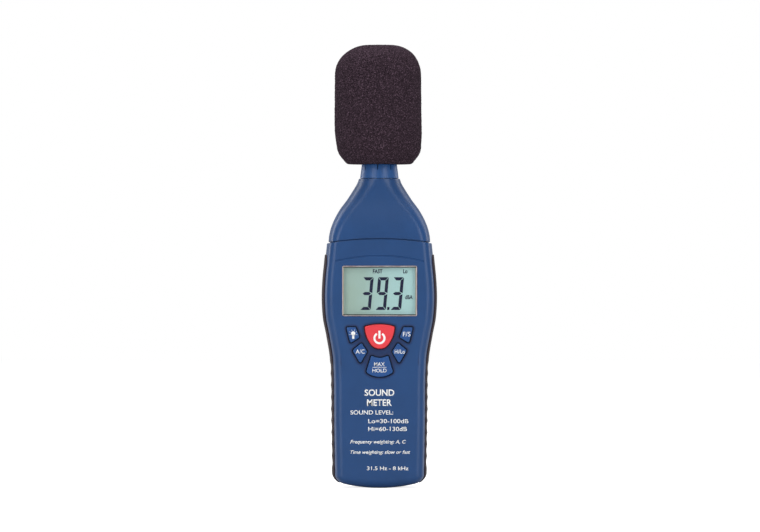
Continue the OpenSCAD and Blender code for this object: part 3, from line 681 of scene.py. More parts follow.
def clear_acrylic(tree, where):
    """Polished acrylic with a border round the edge. It is clear, with a mirror sheen that
    grows towards grazing views as 0.04 + 0.96 * (1 - cos)^5. The border is a thin pale line, partly
    the milky sawn edge and partly a painted highlight on its bevel; inside it a line that is tan at the
    sides and, as a painted shadow of the ledge, dark brown above and below."""
    wave = add(tree, "TexNoise", {"Vector": where, "Scale": per_metre(8.0), "Detail": 1.0})
    smear = add(tree, "Bump", {"Height": wave, "Distance": 0.004 * MM})
    see = add(tree, "BsdfTransparent", {"Color": tint("#fcfdfd")})
    gloss = add(tree, "BsdfGlossy", {"Color": tint("#ffffff"), "Roughness": 0.03, "Normal": smear})
    facing = add(tree, "LayerWeight", {"Blend": 0.5}, "Facing")
    steep = add(tree, "Math", {0: facing, 1: 5.0}, operation="POWER")
    mirror = add(tree, "MapRange", {"Value": steep, "To Min": 0.04})
    clear = add(tree, "MixShader", {0: mirror, 1: see, 2: gloss})
    centre = (0, 0, (WINDOW_Z + BOTTOM) * MM)
    about = add(tree, "VectorMath", {0: where, 1: centre}, operation="SUBTRACT")
    unsigned = add(tree, "VectorMath", {0: about}, operation="ABSOLUTE")
    sides = add(tree, "SeparateXYZ", {0: unsigned}).node.outputs

    def past(axis, inward):
        """1 where the border starts, inward mm from the edge along one axis."""
        half = WINDOW["XYZ".index(axis)] / 2
        return add(tree, "Math", {0: sides[axis], 1: (half - inward) * MM}, operation="GREATER_THAN")

    # The pale line: partly the milky sawn edge, partly a painted highlight on the bevel
    line = add(tree, "Math", {0: past("X", 0.4), 1: past("Z", 0.35)}, operation="MAXIMUM")
    printed = add(tree, "Math", {0: past("X", 0.8), 1: past("Z", 0.85)}, operation="MAXIMUM")
    worn = add(tree, "TexNoise", {"Vector": where, "Scale": per_metre(3.0), "Detail": 2.0})
    patchy = add(tree, "MapRange", {"Value": worn, **MOST})
    pale = add(tree, "Mix", {"Factor": patchy, LOW: tint("#b8a6a6"), HIGH: tint("#d6cccb")}, MIXED,
               data_type="RGBA")
    # Inner line: tan at the sides; dark brown above and below, a painted shadow of the ledge
    dark = add(tree, "Mix", {"Factor": past("Z", 0.85), LOW: tint("#8f8a78"), HIGH: tint("#241615")}, MIXED,
               data_type="RGBA")
    tone = add(tree, "Mix", {"Factor": line, LOW: dark, HIGH: pale}, MIXED, data_type="RGBA")
    sheen = add(tree, "MapRange", {"Value": worn, **MOST, "To Min": 0.3, "To Max": 0.4})
    border = add(tree, "BsdfPrincipled", {"Base Color": tone, "Roughness": sheen})
    return add(tree, "MixShader", {0: printed, 1: clear, 2: border})


def turned_metal(tree, where, base, rough=0.28, upright=False):
    """Lathe-turned metal: fine rings round its axis, about a tenth of a millimetre apart, which draw
    the sheen out across them, and a few handling marks. The axis is upright, or lies in depth."""
    turn = (0, 0, 0) if upright else (math.pi / 2, 0, 0)
    along = add(tree, "Mapping", {"Vector": where, "Rotation": turn})
    stretched = add(tree, "VectorMath", {0: along, 1: (0.02, 0.02, 1.0)}, operation="MULTIPLY")
    rings = add(tree, "TexNoise", {"Vector": stretched, "Scale": per_metre(0.12), "Detail": 2.0})
    marks = add(tree, "TexNoise", {"Vector": where, "Scale": per_metre(3.0), "Detail": 2.0})
    share = add(tree, "MapRange", {"Value": marks, **MOST, "To Min": 0.0, "To Max": 0.3})
    tone = add(tree, "Mix", {"Factor": share, LOW: tint(base), HIGH: scaled(tint(base), 0.82)}, MIXED,
               data_type="RGBA")
    sheen = add(tree, "MapRange", {"Value": rings, **MOST, "To Min": rough - 0.06, "To Max": rough + 0.1})
    dents = add(tree, "Bump", {"Height": rings, "Distance": 0.004 * MM})
    return add(tree, "BsdfPrincipled", {"Base Color": tone, "Roughness": sheen, "Normal": dents,
                                        "Metallic": 1.0})


def solder_resist(tree, where):
    """Glass-fibre laminate under green solder resist: the weave, about half a millimetre, and tracks
    show through as lighter lines under a thin gloss coat."""
    tracks = add(tree, "TexBrick", {"Vector": where, "Scale": per_metre(2.5), "Mortar Size": 0.03,
                                    "Color1": tint("#1d5938"), "Color2": tint("#21653f"),
                                    "Mortar": tint("#3f9059")})
    weave = add(tree, "TexNoise", {"Vector": where, "Scale": per_metre(0.5), "Detail": 2.0})
    sheen = add(tree, "MapRange", {"Value": weave, **MOST, "To Min": 0.3, "To Max": 0.42})
    dents = add(tree, "Bump", {"Height": weave, "Distance": 0.01 * MM})
    return add(tree, "BsdfPrincipled", {"Base Color": tracks, "Roughness": sheen, "Normal": dents, "IOR": 1.5,
                                        "Coat Weight": 0.3, "Coat Roughness": 0.2})


def battery_film(tree, where):
    """Printed plastic film shrunk over a steel can: graphite below, copper-coloured above, and the
    can's own grey at the very top, under a thin gloss."""
    height = add(tree, "SeparateXYZ", {0: where}, "Z")
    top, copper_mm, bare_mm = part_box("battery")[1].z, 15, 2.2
    band = add(tree, "Math", {0: height, 1: top - copper_mm * MM}, operation="GREATER_THAN")
    can = add(tree, "Math", {0: height, 1: top - bare_mm * MM}, operation="GREATER_THAN")
    tone = add(tree, "Mix", {"Factor": band, LOW: tint("#23262b"), HIGH: tint("#b06f3c")}, MIXED,
               data_type="RGBA")
    tone = add(tree, "Mix", {"Factor": can, LOW: tone, HIGH: tint("#9a9a98")}, MIXED, data_type="RGBA")
    grain = add(tree, "TexNoise", {"Vector": where, "Scale": per_metre(1.2), "Detail": 2.0})
    sheen = add(tree, "MapRange", {"Value": grain, **MOST, "To Min": 0.2, "To Max": 0.32})
    dents = add(tree, "Bump", {"Height": grain, "Distance": 0.01 * MM})
    return add(tree, "BsdfPrincipled", {"Base Color": tone, "Roughness": sheen, "Normal": dents, "IOR": 1.5,
                                        "Coat Weight": 0.4, "Coat Roughness": 0.1})


def pale_table(tree, where):
    """Matt white laminate table top. To the camera it also glows, so that it runs into the room."""
    grain = add(tree, "TexNoise", {"Vector": where, "Scale": per_metre(0.8), "Detail": 2.0})
    seen = add(tree, "LightPath", {}, "Is Camera Ray")
    glow = add(tree, "Math", {0: seen, 1: TABLE_GLOW}, operation="MULTIPLY")
    tone = add(tree, "Mix", {"Factor": grain, LOW: tint("#c8c8c8"), HIGH: tint("#cecece")}, MIXED,
               data_type="RGBA")
    dents = add(tree, "Bump", {"Height": grain, "Distance": 0.01 * MM})
    return add(tree, "BsdfPrincipled", {"Base Color": tone, "Roughness": 0.7, "Normal": dents,
                                        "Emission Color": tint("#ffffff"), "Emission Strength": glow})


# Each finish: its material's name, how its surface is made, and that surface's own values
FINISHES = {
    "case": ("spark-textured abs", case_abs, {}),
    # Its lighter blue is painted light against the shade the windscreen casts on the collar
    "collar": ("satin abs collar", moulded, {"base": "collar", "rough": 0.36, "depth_mm": 0.004}),
    "keys": ("satin abs keys", moulded, {"base": "keys", "rough": 0.36, "depth_mm": 0.006, "spec": 0.3}),
    "power": ("satin red abs", moulded, {"base": "power", "rough": 0.36, "depth_mm": 0.006, "mottle": 0.03}),
    "grips": ("moulded rubber", grip_rubber, {}),
    "foam": ("open-cell foam", open_cell_foam, {}),
    "print": ("white print", ink, {"base": "print"}),
    "segments": ("display segments", ink, {"base": "segments", "spec": 0.05}),
    "display": ("liquid crystal cell", display_cell, {}),
    "window": ("polished acrylic", clear_acrylic, {}),
    "black_rubber": ("moulded black rubber", moulded, {"base": "#1b1a1a", "rough": 0.65}),
    "black_epoxy": ("moulded epoxy", moulded, {"base": "#17181a", "rough": 0.5}),
    "silicone": ("moulded silicone", moulded, {"base": "#cfc9bd", "rough": 0.6}),
    "white": ("moulded white plastic", moulded, {"base": "#e6e5de", "rough": 0.45}),
    "nickel": ("turned nickel plate", turned_metal, {"base": "#b9bbbd", "upright": True}),
    "gilt": ("gilt capsule", turned_metal, {"base": "#cdb57a", "upright": True}),
    "brass": ("turned brass", turned_metal, {"base": "#c79a4b"}),
    "steel": ("nickel-plated steel", turned_metal, {"base": "#b5b7b9"}),
    "dark_steel": ("black zinc plate", turned_metal, {"base": "#3a3b3e", "rough": 0.38}),
    "zebra": ("striped contact rubber", moulded, {"base": "#c98597", "rough": 0.55}),
    "board": ("solder resist on laminate", solder_resist, {}),
    "battery": ("printed battery film", battery_film, {}),
    "capacitor": ("shrink sleeve", moulded, {"base": "#1b2f5a", "rough": 0.25}),
    "trimmer": ("trimmer body", moulded, {"base": "#1f54a8", "rough": 0.35}),
    "leads": ("wire insulation", moulded, {"base": "#a81e22", "rough": 0.35}),
    "pad": ("closed-cell foam", moulded, {"base": "#3b3b3f", "rough": 0.9, "texture_mm": 0.6,
                                          "depth_mm": 0.08}),
    "table": ("pale table", pale_table, {}),
}


def finish_of(name):
    """The material of a finish. When first asked for it is made: its surface is worked out in the
    object's own coordinates, in metres."""
    label, surface, values = FINISHES[name]
    mat = bpy.data.materials.get(label)
    if mat is None:
        mat = bpy.data.materials.new(label)
        mat.use_nodes = True
        tree = mat.node_tree
        tree.nodes.clear()
        where = add(tree, "TexCoord", {}, "Object")
        add(tree, "OutputMaterial", {"Surface": surface(tree, where, **values)})
    return mat


def dress(node, name):
    """Gives a node of the frame that stays as it is its material."""
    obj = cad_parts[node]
    if not obj.material_slots:
        raise RuntimeError(f"{node} has no material slot")
    for slot in obj.material_slots:
        slot.material = finish_of(name)


# ---- shells and head ----

def grip_band(grow, side):
    """Prism of the band where a grip lies, seen from the side, grown all round."""
    half, low = GRIP_HALF + grow, GRIP_LOW - grow
    corner = GRIP_CORNER + grow
    flat = rounded([(-half, low, corner), (half, low, corner), (half, GRIP_TOP + grow, corner),
                    (-half, GRIP_TOP + grow, corner)], 12)
    rings = np.stack([np.stack([np.full(len(flat), x), MID + flat[:, 0], flat[:, 1]], axis=-1)
                      for x in (14 * side, 32 * side)])
    count = len(flat)
    obj = new_object("cutter", rings, quads(2, count) + [list(range(count)), list(range(count, 2 * count))])
    tidy(obj)
    return obj


def grip_pocket(side):
    """Tool that sinks the pocket for one grip into the shells."""
    return combine(grip_band(0.12, side), [ring_body("cutter", case_grid(-GRIP_SET - 0.05, SEAM + 4))])


def layer(y0, y1):
    """Block between two depths, wider and taller than the case."""
    return block((-40, y0, -5), (40, y1, 125))


def seam_ring():
    """Tool for the fine groove where the two shells meet."""
    ring = combine(ring_body("cutter", case_grid(1, SEAM + 2)),
                   [ring_body("cutter", case_grid(-size("seam_groove"), SEAM + 4))])
    return combine(ring, [layer(MID - 0.22, MID + 0.22)], "INTERSECT")


def half_shell(name, y0, y1):
    """One moulded half of the case: the outer skin less its cavity, kept between two depths."""
    shell = ring_body(name, case_grid())
    combine(shell, [ring_body("cutter", case_grid(-WALL, SEAM + 4)), grip_pocket(-1), grip_pocket(1)])
    combine(shell, [layer(y0, y1)], "INTERSECT")
    return combine(shell, [seam_ring()])


def relief_arc():
    """Tool for the faint arch above the window: a shallow groove with sloping sides along the parabola
    foot + rise * (1 - (x / half)^2)."""
    half, foot, rise = 21, 107.2, 2.6
    x = np.linspace(-half, half, 41)
    crown = foot + rise * (1 - (x / half) ** 2)

    def band(reach):
        """Outline of the groove, reach mm to each side of the parabola."""
        below, above = np.stack([x, crown - reach], axis=-1), np.stack([x, crown + reach], axis=-1)
        return np.concatenate([below, above[::-1]])

    return stacked("cutter", [(FACE - 1, band(0.45)), (FACE, band(0.45)), (FACE + 0.28, band(0.15))])


def make_front_shell():
    """Front half: window seat and opening, six key holes with rounded lips, and the screw posts."""
    shell = half_shell("front_shell", FACE - 1, MID - PART_GAP)
    inner = FACE + WALL
    posts = [peg((s * x, z), inner - 0.5, POST_SPLIT, 2.4, 32) for x, z in SCREWS for s in (-1, 1)]
    ribs = [rod((-15, inner, z), (15, inner, z), 0.7) for z in (16, 24, 32, 40)]
    combine(shell, posts + ribs, "UNION")
    combine(shell, [peg((s * x, z), -18, 0, 1.3, 32) for x, z in SCREWS for s in (-1, 1)])
    combine(shell, [opening(rectangle(WINDOW[0], WINDOW[2], 0.8, WINDOW_Z), FACE + 1.2, 0.1, 0.15),
                    slab(rectangle(WINDOW[0] - 1.2, WINDOW[2] - 1.2, 0.6, WINDOW_Z), FACE - 1, inner + 1),
                    relief_arc()])
    gap, lip = size("key_gap"), size("lip")
    combine(shell, [opening(outline, inner + 1, gap, lip, size("dish")) for outline in KEYS.values()])
    return piece(shade(shell), "case_front", "case", finish_of("case"), "blue_case", "front_shell")


def battery_bay():
    """Walls round the battery, open to the back, with a slot for the leads."""
    half, back = BAY_HALF + 1, BAY_BACK - 1
    bay = block((-half, back, BAY_FLOOR), (half, -1.5, BAY_ROOF))
    return combine(bay, [block((-BAY_HALF, BAY_BACK, BAY_FLOOR + 1), (BAY_HALF, 1, BAY_ROOF - 1)),
                         block((-7, -20, BAY_ROOF - 3), (7, -14, BAY_ROOF + 1))])


def door_cuts():
    """Tools for the battery door's opening: its plate, web, flange, bottom cap and pad."""
    gap = 0.2
    half, web, flange = DOOR_HALF + gap, DOOR_HALF - 1.8 + gap, DOOR_HALF - 0.4 + gap
    return [block((-half, -DOOR_PLATE - 0.15, -5), (half, 1, DOOR_TOP + gap)),
            block((-web, DOOR_FLANGE - gap, -5), (web, 1, DOOR_TOP - 1)),
            block((-flange, DOOR_FLANGE - gap, -5), (flange, -WALL, DOOR_TOP - 1)),
            block((-half, -DOOR_CAP - gap, -5), (half, 1, 4.9)),
            block((-11, -4.5, -5), (11, 1, BAY_FLOOR + 1.1))]


def make_rear_shell():
    """Back half: battery bay and its opening, screw wells, tripod boss and the trimmer's hole."""
    shell = half_shell("rear_shell", MID + PART_GAP, BACK + 1)
    wells = [(s * x, z) for x, z in SCREWS for s in (-1, 1)]
    posts = [peg(at, POST_SPLIT + 0.1, -1, 3.2, 32) for at in wells]
    combine(shell, posts + [peg((0, THREAD_Z), -INSERT_DEPTH - 1.4, -1, 6.2), battery_bay()], "UNION")
    combine(shell, [peg(at, -10, 1, 1.6, 32) for at in wells] + [well(at, 3, 2.6) for at in wells])
    combine(shell, [well((0, THREAD_Z), 4.45, INSERT_DEPTH + 0.1), well(TRIMMER, 1.7, 8)] + door_cuts())
    return piece(shade(shell), "case_back", "case", finish_of("case"), "blue_case", "rear_shell")


def well(at, r, depth, lip=0.25):
    """Tool for a round hole in the back with a rounded lip."""
    a = np.linspace(0, 2 * np.pi, 64, endpoint=False)
    circle = np.stack([np.cos(a), np.sin(a)], axis=-1)
    layers = [(BACK - depth, r)]
    for t in np.radians(np.linspace(90, 0, 5)):
        layers.append((BACK - lip * (1 - math.cos(t)), r + lip * (1 - math.sin(t))))
    layers.append((BACK + 1, r + lip))
    return stacked("cutter", [(y, np.array(at) + wide * circle) for y, wide in layers])


def make_head():
    """Head: a hollow moulding that narrows from the case to the round neck. A web set in from the skin
    closes the gap at the seam, and a spigot reaches down into the case."""
    head = ring_body("head", head_grid(SEAM + SEAM_GAP, HEAD_TOP))
    combine(head, [ring_body("cutter", head_grid(SEAM + 0.05, SEAM + 3, -SEAM_WEB))], "UNION")
    combine(head, [ring_body("cutter", head_grid(SEAM - 1, HEAD_TOP - 4, -WALL))])
    spigot = ring_body("cutter", case_grid(-WALL - 0.15, SEAM + 3))
    combine(spigot, [ring_body("cutter", case_grid(-WALL - 1.6, SEAM + 6))])
    combine(spigot, [block((-40, FACE, 113.4), (40, BACK, SEAM + 3))], "INTERSECT")
    combine(head, [spigot], "UNION")
    combine(head, [revolved("cutter", [(0, HEAD_TOP - 5), (7.75, HEAD_TOP - 5), (7.75, HEAD_TOP + 5),
                                       (0, HEAD_TOP + 5)], 64)])
    return piece(shade(head), "head_moulding", "case", finish_of("case"), "blue_case", "nose_cone")


def about_mic(obj, degrees):
    """Turns a tool's mesh about the microphone's axis."""
    co = np.empty(len(obj.data.vertices) * 3)
    obj.data.vertices.foreach_get("co", co)
    co = co.reshape(-1, 3)
    x, y = co[:, 0].copy(), co[:, 1] - MID * MM
    a = math.radians(degrees)
    co[:, 0] = x * math.cos(a) - y * math.sin(a)
    co[:, 1] = x * math.sin(a) + y * math.cos(a) + MID * MM
    obj.data.vertices.foreach_set("co", co.ravel())
    return obj


def make_collar():
    """Collar on the neck, with its eight slots and rounded rims."""
    bore = MIC_RADIUS + 0.1
    low = HEAD_TOP + 0.12
    bend = np.radians(np.linspace(0, 90, 6))
    foot = [(COLLAR_RADIUS - 0.25 * (1 - math.sin(a)), low + 0.25 * (1 - math.cos(a))) for a in bend]
    rim = [(COLLAR_TOP_RADIUS - 0.3 * (1 - math.cos(a)), COLLAR_TOP - 0.3 * (1 - math.sin(a))) for a in bend]
    collar = revolved("collar", [(bore, low)] + foot + rim + [(bore, COLLAR_TOP), (bore, low)])
    slots = [about_mic(block((bore + 0.7, MID - 0.25, COLLAR_TOP - 2.6), (COLLAR_RADIUS + 1, MID + 0.25,
                                                                         COLLAR_TOP + 1)), a)
             for a in range(-6, 350, 45)]
    combine(collar, slots)
    return piece(shade(collar), "neck_ring", "case", finish_of("collar"), "blue_case", "neck_collar")


# ---- windscreen ----

def resampled(path, step):
    """Points along an open path, spaced evenly at about step."""
    along = np.concatenate([[0], np.cumsum(np.linalg.norm(np.diff(path, axis=0), axis=1))])
    at = np.linspace(0, along[-1], round(along[-1] / step))
    return np.stack([np.interp(at, along, path[:, k]) for k in (0, 1)], axis=-1)


def make_windscreen():
    """Foam windscreen: the outline, up from the microphone's bore and round the outside, is straight
    runs joined by arcs, turned about the microphone. Each point of the skin stands in or out by
    seeded noise, as cut cells do, and the top leans a little."""
    bore, bore_top = MIC_RADIUS + 0.3, MIC_TOP + 1.5
    outline = rounded([(0, bore_top, 0), (bore - 1.5, bore_top, 0), (bore, bore_top - 1.5, 0),
                       (bore, COLLAR_TOP, 0.3), (15.5, COLLAR_TOP, 2.4),
                       (FOAM_RADIUS - 0.9, COLLAR_TOP + 5.4, 8), (FOAM_RADIUS + 0.1, COLLAR_TOP + 15, 60),
                       (FOAM_RADIUS - 0.25, FOAM_TOP - 0.1, 14.4), (0, FOAM_TOP, 0)], 12)
    # How far apart the skin's points are up the outline, and how many go round
    apart, steps = 0.42, 300
    skin = resampled(outline, apart)
    a = np.linspace(0, 2 * np.pi, steps, endpoint=False)
    noise = np.random.default_rng(5).normal(size=(len(skin), steps))
    noise = np.clip((noise + np.roll(noise, 1, 0) + np.roll(noise, 1, 1)) / 1.7, -2, 2)
    radius, height = skin[:, :1], skin[:, 1:]
    outside = smooth((radius - bore) / 2) * smooth((radius - 1) / 3)
    rise = np.clip((height - COLLAR_TOP) / (FOAM_TOP - COLLAR_TOP), 0, 1)
    on_top = smooth((radius - 1) / 3) * smooth((rise - 0.9) * 10)
    r = radius - outside * (0.14 + 0.06 * noise)
    z = height + 0.06 * (noise - 2) * on_top
    lean = FOAM_LEAN * smooth(rise * 2.5) * smooth((radius - bore) / 4) * smooth((FOAM_TOP - height) / 10)
    grid = np.stack([r * np.cos(a) - lean, MID + r * np.sin(a), z], axis=-1)
    foam = new_object("windscreen", grid, quads(len(skin), steps))
    tidy(foam)
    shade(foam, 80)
    return piece(foam, "foam_windscreen", "windscreen", finish_of("foam"), "foam", "windscreen")


# ---- grips and battery door ----

def band_outline(inset, spine=150, ends=14, bend=9):
    """Rounded rectangle (distance from the middle plane, height) round a grip, drawn in by inset; it
    always has as many points, and closes on the middle line at half the width."""
    r = max(GRIP_CORNER - inset, 0)
    w, low, high = GRIP_HALF - inset - r, GRIP_LOW + inset + r, GRIP_TOP - inset - r
    points = []
    corners = [(w, high, ends), (-w, high, spine), (-w, low, ends), (w, low, spine)]
    for k, (cx, cz, count) in enumerate(corners):
        t = np.radians(np.linspace(90 * k, 90 * k + 90, bend))
        arc = np.stack([cx + r * np.cos(t), cz + r * np.sin(t)], axis=-1)
        after = [(-w, high + r), (-w - r, low), (w, low - r), (w + r, high)][k]
        side = arc[-1] + np.linspace(0, 1, count)[1:-1, None] * (np.array(after) - arc[-1])
        points += [arc, side]
    return np.concatenate(points)


def on_side(y, height, off):
    """Point (x, height) of the case's side skin, grown by off, that stands at a height: up the quarter
    circle at the bottom edge, then up the side."""
    u = np.linspace(0, 125, 1500)
    turn = np.clip(u / EDGE, 0, np.pi / 2)

    def skin(grown):
        up = np.maximum(u - EDGE * np.pi / 2, 0)
        z = EDGE * (1 - np.cos(turn)) + up
        x = on_curve(CASE_STATIONS, z) - EDGE + (EDGE + grown) * np.sin(turn)
        z = EDGE - (EDGE + grown) * np.cos(turn) + up
        return x, z + np.clip(1 - z / 22, 0, 1) * x ** 2 / (2 * BOTTOM_ARC)

    at = np.interp(height, skin(0)[1], u)
    low, high = skin(0), skin(1)
    x, z = (np.interp(at, u, a) + off * (np.interp(at, u, b) - np.interp(at, u, a))
            for a, b in zip(low, high))
    return x - SIDE_CROWN * (y / (HALF_DEPTH - EDGE)) ** 2, z


def make_grip(side, node):
    """Rubber grip: concentric outlines laid over the case's side, from the middle of the pocket's
    floor out to the rim and in again over the face. The rim is a quarter circle, and shallow arcs
    scallop the lower half."""
    rim = 0.45
    rows = [(inset, -GRIP_SET) for inset in np.linspace(GRIP_HALF, 0, 9)]
    rows += [(rim * (1 - math.cos(t)), GRIP_PROUD - rim * (1 - math.sin(t)))
             for t in np.radians(np.linspace(0, 90, 6))]
    rows += [(inset, GRIP_PROUD) for inset in np.linspace(rim + 0.4, GRIP_HALF, 14)]
    grid = []
    for inset, off in rows:
        y, height = band_outline(inset).T
        step = (height - SCALLOP_START) / SCALLOP_PITCH + 0.5
        inside = (step > 0) & (step < SCALLOPS) & (off > GRIP_PROUD - rim)
        dip = size("scallop") * inside * (1 - (2 * (step % 1) - 1) ** 2)
        x, z = on_side(y, height, off - dip)
        grid.append(np.stack([side * x, MID + y, z], axis=-1))
    grip = new_object(node, np.array(grid), quads(len(rows), len(grid[0])))
    tidy(grip)
    rubber = node.replace("grip", "rubber")
    return piece(shade(grip, 40), rubber, "case", finish_of("grips"), "grip_rubber", node)


def make_battery_door():
    """Sliding door: the plate and bottom cap follow the case's skin, with a web and flange behind
    them, thumb ribs and an arrow that points the way it slides."""
    plate = combine(ring_body("door", case_grid()), [block((-DOOR_HALF, -DOOR_PLATE, -5),
                                                          (DOOR_HALF, 1, DOOR_TOP))], "INTERSECT")
    cap = combine(ring_body("cutter", case_grid()), [ring_body("cutter", case_grid(-WALL))])
    combine(cap, [block((-DOOR_HALF, -DOOR_CAP, -5), (DOOR_HALF, 1, 4.6))], "INTERSECT")
    web, flange = DOOR_HALF - 1.8, DOOR_HALF - 0.4
    combine(plate, [cap, block((-web, DOOR_FLANGE, 3.2), (web, -DOOR_PLATE + 0.1, DOOR_TOP - 1.4)),
                    block((-flange, DOOR_FLANGE, 4.9), (flange, DOOR_FLANGE + 1, DOOR_TOP - 1.4))], "UNION")
    ribs = [rod((-7, 0.35, z - 2), (7, 0.35, z - 2), 0.7) for z in range(45, 60, 2)]
    arrow = rounded([(-3.5, 37.5, 0.3), (0, 33.5, 0.3), (3.5, 37.5, 0.3)])
    combine(plate, ribs + [stacked("cutter", [(BACK - 0.3, arrow), (BACK + 1, arrow)])])
    mod = plate.modifiers.new("edges", "BEVEL")
    mod.width, mod.segments, mod.limit_method, mod.angle_limit = 0.22 * MM, 3, "ANGLE", math.radians(60)
    return piece(shade(plate), "battery_cover", "battery_door", finish_of("case"), "blue_case",
                 "battery_door")


# ---- keys, display and legends ----

def make_key(name):
    """Key with a rounded top edge and a very slightly crowned top, and the flange that holds it in."""
    pts = rounded(KEYS[name], 10)
    edge, crown = size("key_edge"), 0.1
    flange = outset(pts, 0.75)
    layers = [(KEY_BACK, flange), (KEY_BACK - 0.75, flange), (KEY_BACK - 0.8, pts)]
    shoulder = KEY_TOP + crown
    for t in np.radians(np.linspace(0, 90, 7)):
        layers.append((shoulder + edge * (1 - math.sin(t)), outset(pts, -edge * (1 - math.cos(t)))))
    rim, middle = layers[-1][1], pts.mean(axis=0)
    for share in (0.9, 0.75, 0.55, 0.35, 0.15):
        layers.append((shoulder - crown * (1 - share ** 2), middle + (rim - middle) * share))
    key = stacked("key", layers)
    finish, slot = ("power", "red_key") if name == "power_key" else ("keys", "blue_key")
    return piece(shade(key), name.replace("_key", "_button"), name, finish_of(finish), slot, name)


# How thick the ink of every print is, and the depth of the keys' faces that theirs lies on
INK_DEPTH = 0.03
PRINT_Y = KEY_TOP + 0.02


def raised(name, outlines, y):
    """Thin prints: one prism for each outline, standing out from depth y."""
    return joined([stacked("print", [(y - INK_DEPTH, np.array(o, float)), (y, np.array(o, float))])
                   for o in outlines], name)


def stroke(a, b, width):
    """Outline of a straight stroke from a to b."""
    a, b = np.array(a, float), np.array(b, float)
    n = (b - a)[::-1] * (-1, 1) / np.linalg.norm(b - a) * width / 2
    return [a + n, b + n, b - n, a - n]


def arc_stroke(centre, r, start, end, width, steps=40):
    """Outline of an arc of a ring, from angle start to end in degrees."""
    t = np.radians(np.linspace(start, end, steps))
    circle = np.stack([np.cos(t), np.sin(t)], axis=-1)
    return np.concatenate([centre + (r + width / 2) * circle, centre + ((r - width / 2) * circle)[::-1]])


def words(text, low, high, y, bold=0.0, slant=0.0):
    """Text as a thin print that fills the box between two corners (x, height)."""
    curve = bpy.data.curves.new("words", "FONT")
    curve.body, curve.offset, curve.shear, curve.resolution_u = text, bold, slant, 6
    made = bpy.data.objects.new("words", curve)
    bpy.context.scene.collection.objects.link(made)
    bpy.context.view_layer.update()
    flat = bpy.data.meshes.new_from_object(made.evaluated_get(bpy.context.evaluated_depsgraph_get()))
    bpy.data.objects.remove(made)
    co = np.empty(len(flat.vertices) * 3)
    flat.vertices.foreach_get("co", co)
    co = co.reshape(-1, 3)
    span = co.max(axis=0) - co.min(axis=0)
    xz = (co[:, :2] - co.min(axis=0)[:2]) / span[:2] * (np.array(high) - low) + low
    flat.vertices.foreach_set("co", place(np.stack([xz[:, 0], np.full(len(xz), y), xz[:, 1]], -1)).ravel())
    obj = bpy.data.objects.new("words", flat)
    bpy.context.scene.collection.objects.link(obj)
    tidy(obj, 1e-7)
    bm = bmesh.new()
    bm.from_mesh(flat)
    grown = bmesh.ops.extrude_face_region(bm, geom=bm.faces[:])["geom"]
    move = [v for v in grown if isinstance(v, bmesh.types.BMVert)]
    bmesh.ops.translate(bm, verts=move, vec=(0, -INK_DEPTH * MM, 0))
    bmesh.ops.recalc_face_normals(bm, faces=bm.faces)
    bm.to_mesh(flat)
    bm.free()
    return obj


def power_sign():
    """Ring open at the top with an upright bar in the gap."""
    return [arc_stroke((-0.1, 70.9), 2.38, 121, 419, 0.98), stroke((-0.1, 70.75), (-0.1, 74.45), 0.98)]


def lamp_sign():
    """Bulb: a round head, a narrower cap below it, and short rays."""
    x, z = -12.5, 72.9
    t = np.radians(np.linspace(0, 360, 24, endpoint=False))
    head = np.stack([x + 1.0 * np.cos(t), z + 0.25 + 1.0 * np.sin(t)], axis=-1)
    rays = [stroke((x + 1.35 * math.cos(k), z + 0.25 + 1.35 * math.sin(k)),
                   (x + 1.95 * math.cos(k), z + 0.25 + 1.95 * math.sin(k)), 0.14)
            for k in np.radians(range(-20, 201, 44))]
    return [head, stroke((x, z - 2.3), (x, z - 0.4), 1.05)] + rays


def make_legends():
    """White prints on the keys, each of which rides on its key."""
    body = {
        "power_key": lambda: raised("sign", power_sign(), PRINT_Y),
        "backlight_key": lambda: raised("sign", lamp_sign(), PRINT_Y),
        "response_key": lambda: words("F/S", (11.0, 71.75), (14.55, 73.9), PRINT_Y),
        "weighting_key": lambda: words("A/C", (-11.3, 63.6), (-7.05, 65.55), PRINT_Y),
        "range_key": lambda: words("Hi/Lo", (7.1, 63.6), (11.85, 65.55), PRINT_Y),
        "hold_key": lambda: joined([
            words("MAX", (-2.6, 57.7), (2.35, 59.5), PRINT_Y, bold=0.005),
            words("HOLD", (-3.4, 54.75), (3.25, 56.5), PRINT_Y, bold=0.005),
            raised("line", [stroke((-3.35, 57.15), (3.2, 57.15), 0.18)], PRINT_Y)], "hold"),
    }
    for key, make in body.items():
        piece(make(), key.replace("_key", "_legend"), key, finish_of("print"), "white_plastic")


def make_case_print():
    """Prints on the front of the case: plain words for what it is, its ranges and its settings."""
    y = FACE + 0.005
    lines = [("SOUND", (-7.1, 43.6), (6.9, 46.7), 0.022, 0.0),
             ("METER", (-6.0, 38.9), (5.7, 42.0), 0.022, 0.0),
             ("SOUND LEVEL:", (-13.8, 34.8), (6.4, 36.8), 0.012, 0.0),
             ("Lo=30-100dB", (-5.4, 30.7), (13.6, 32.7), 0.012, 0.0),
             ("Hi=60-130dB", (-5.4, 27.0), (12.9, 29.0), 0.012, 0.0),
             ("Frequency weighting: A, C", (-13.9, 20.6), (12.4, 22.8), 0.018, 0.25),
             ("Time weighting: slow or fast", (-13.9, 15.7), (14.4, 17.9), 0.018, 0.25),
             ("31.5 Hz - 8 kHz", (-6.0, 8.5), (13.6, 10.3), 0.015, 0.0)]
    prints = [words(text, low, high, y, bold=bold, slant=slant) for text, low, high, bold, slant in lines]
    return piece(joined(prints, "print"), "case_print", "case", finish_of("print"), "white_plastic")


# Strokes of a seven-segment digit: top, upper right, lower right, foot, lower left, upper left, middle
LIT = {"3": "1111001", "9": "1111011"}


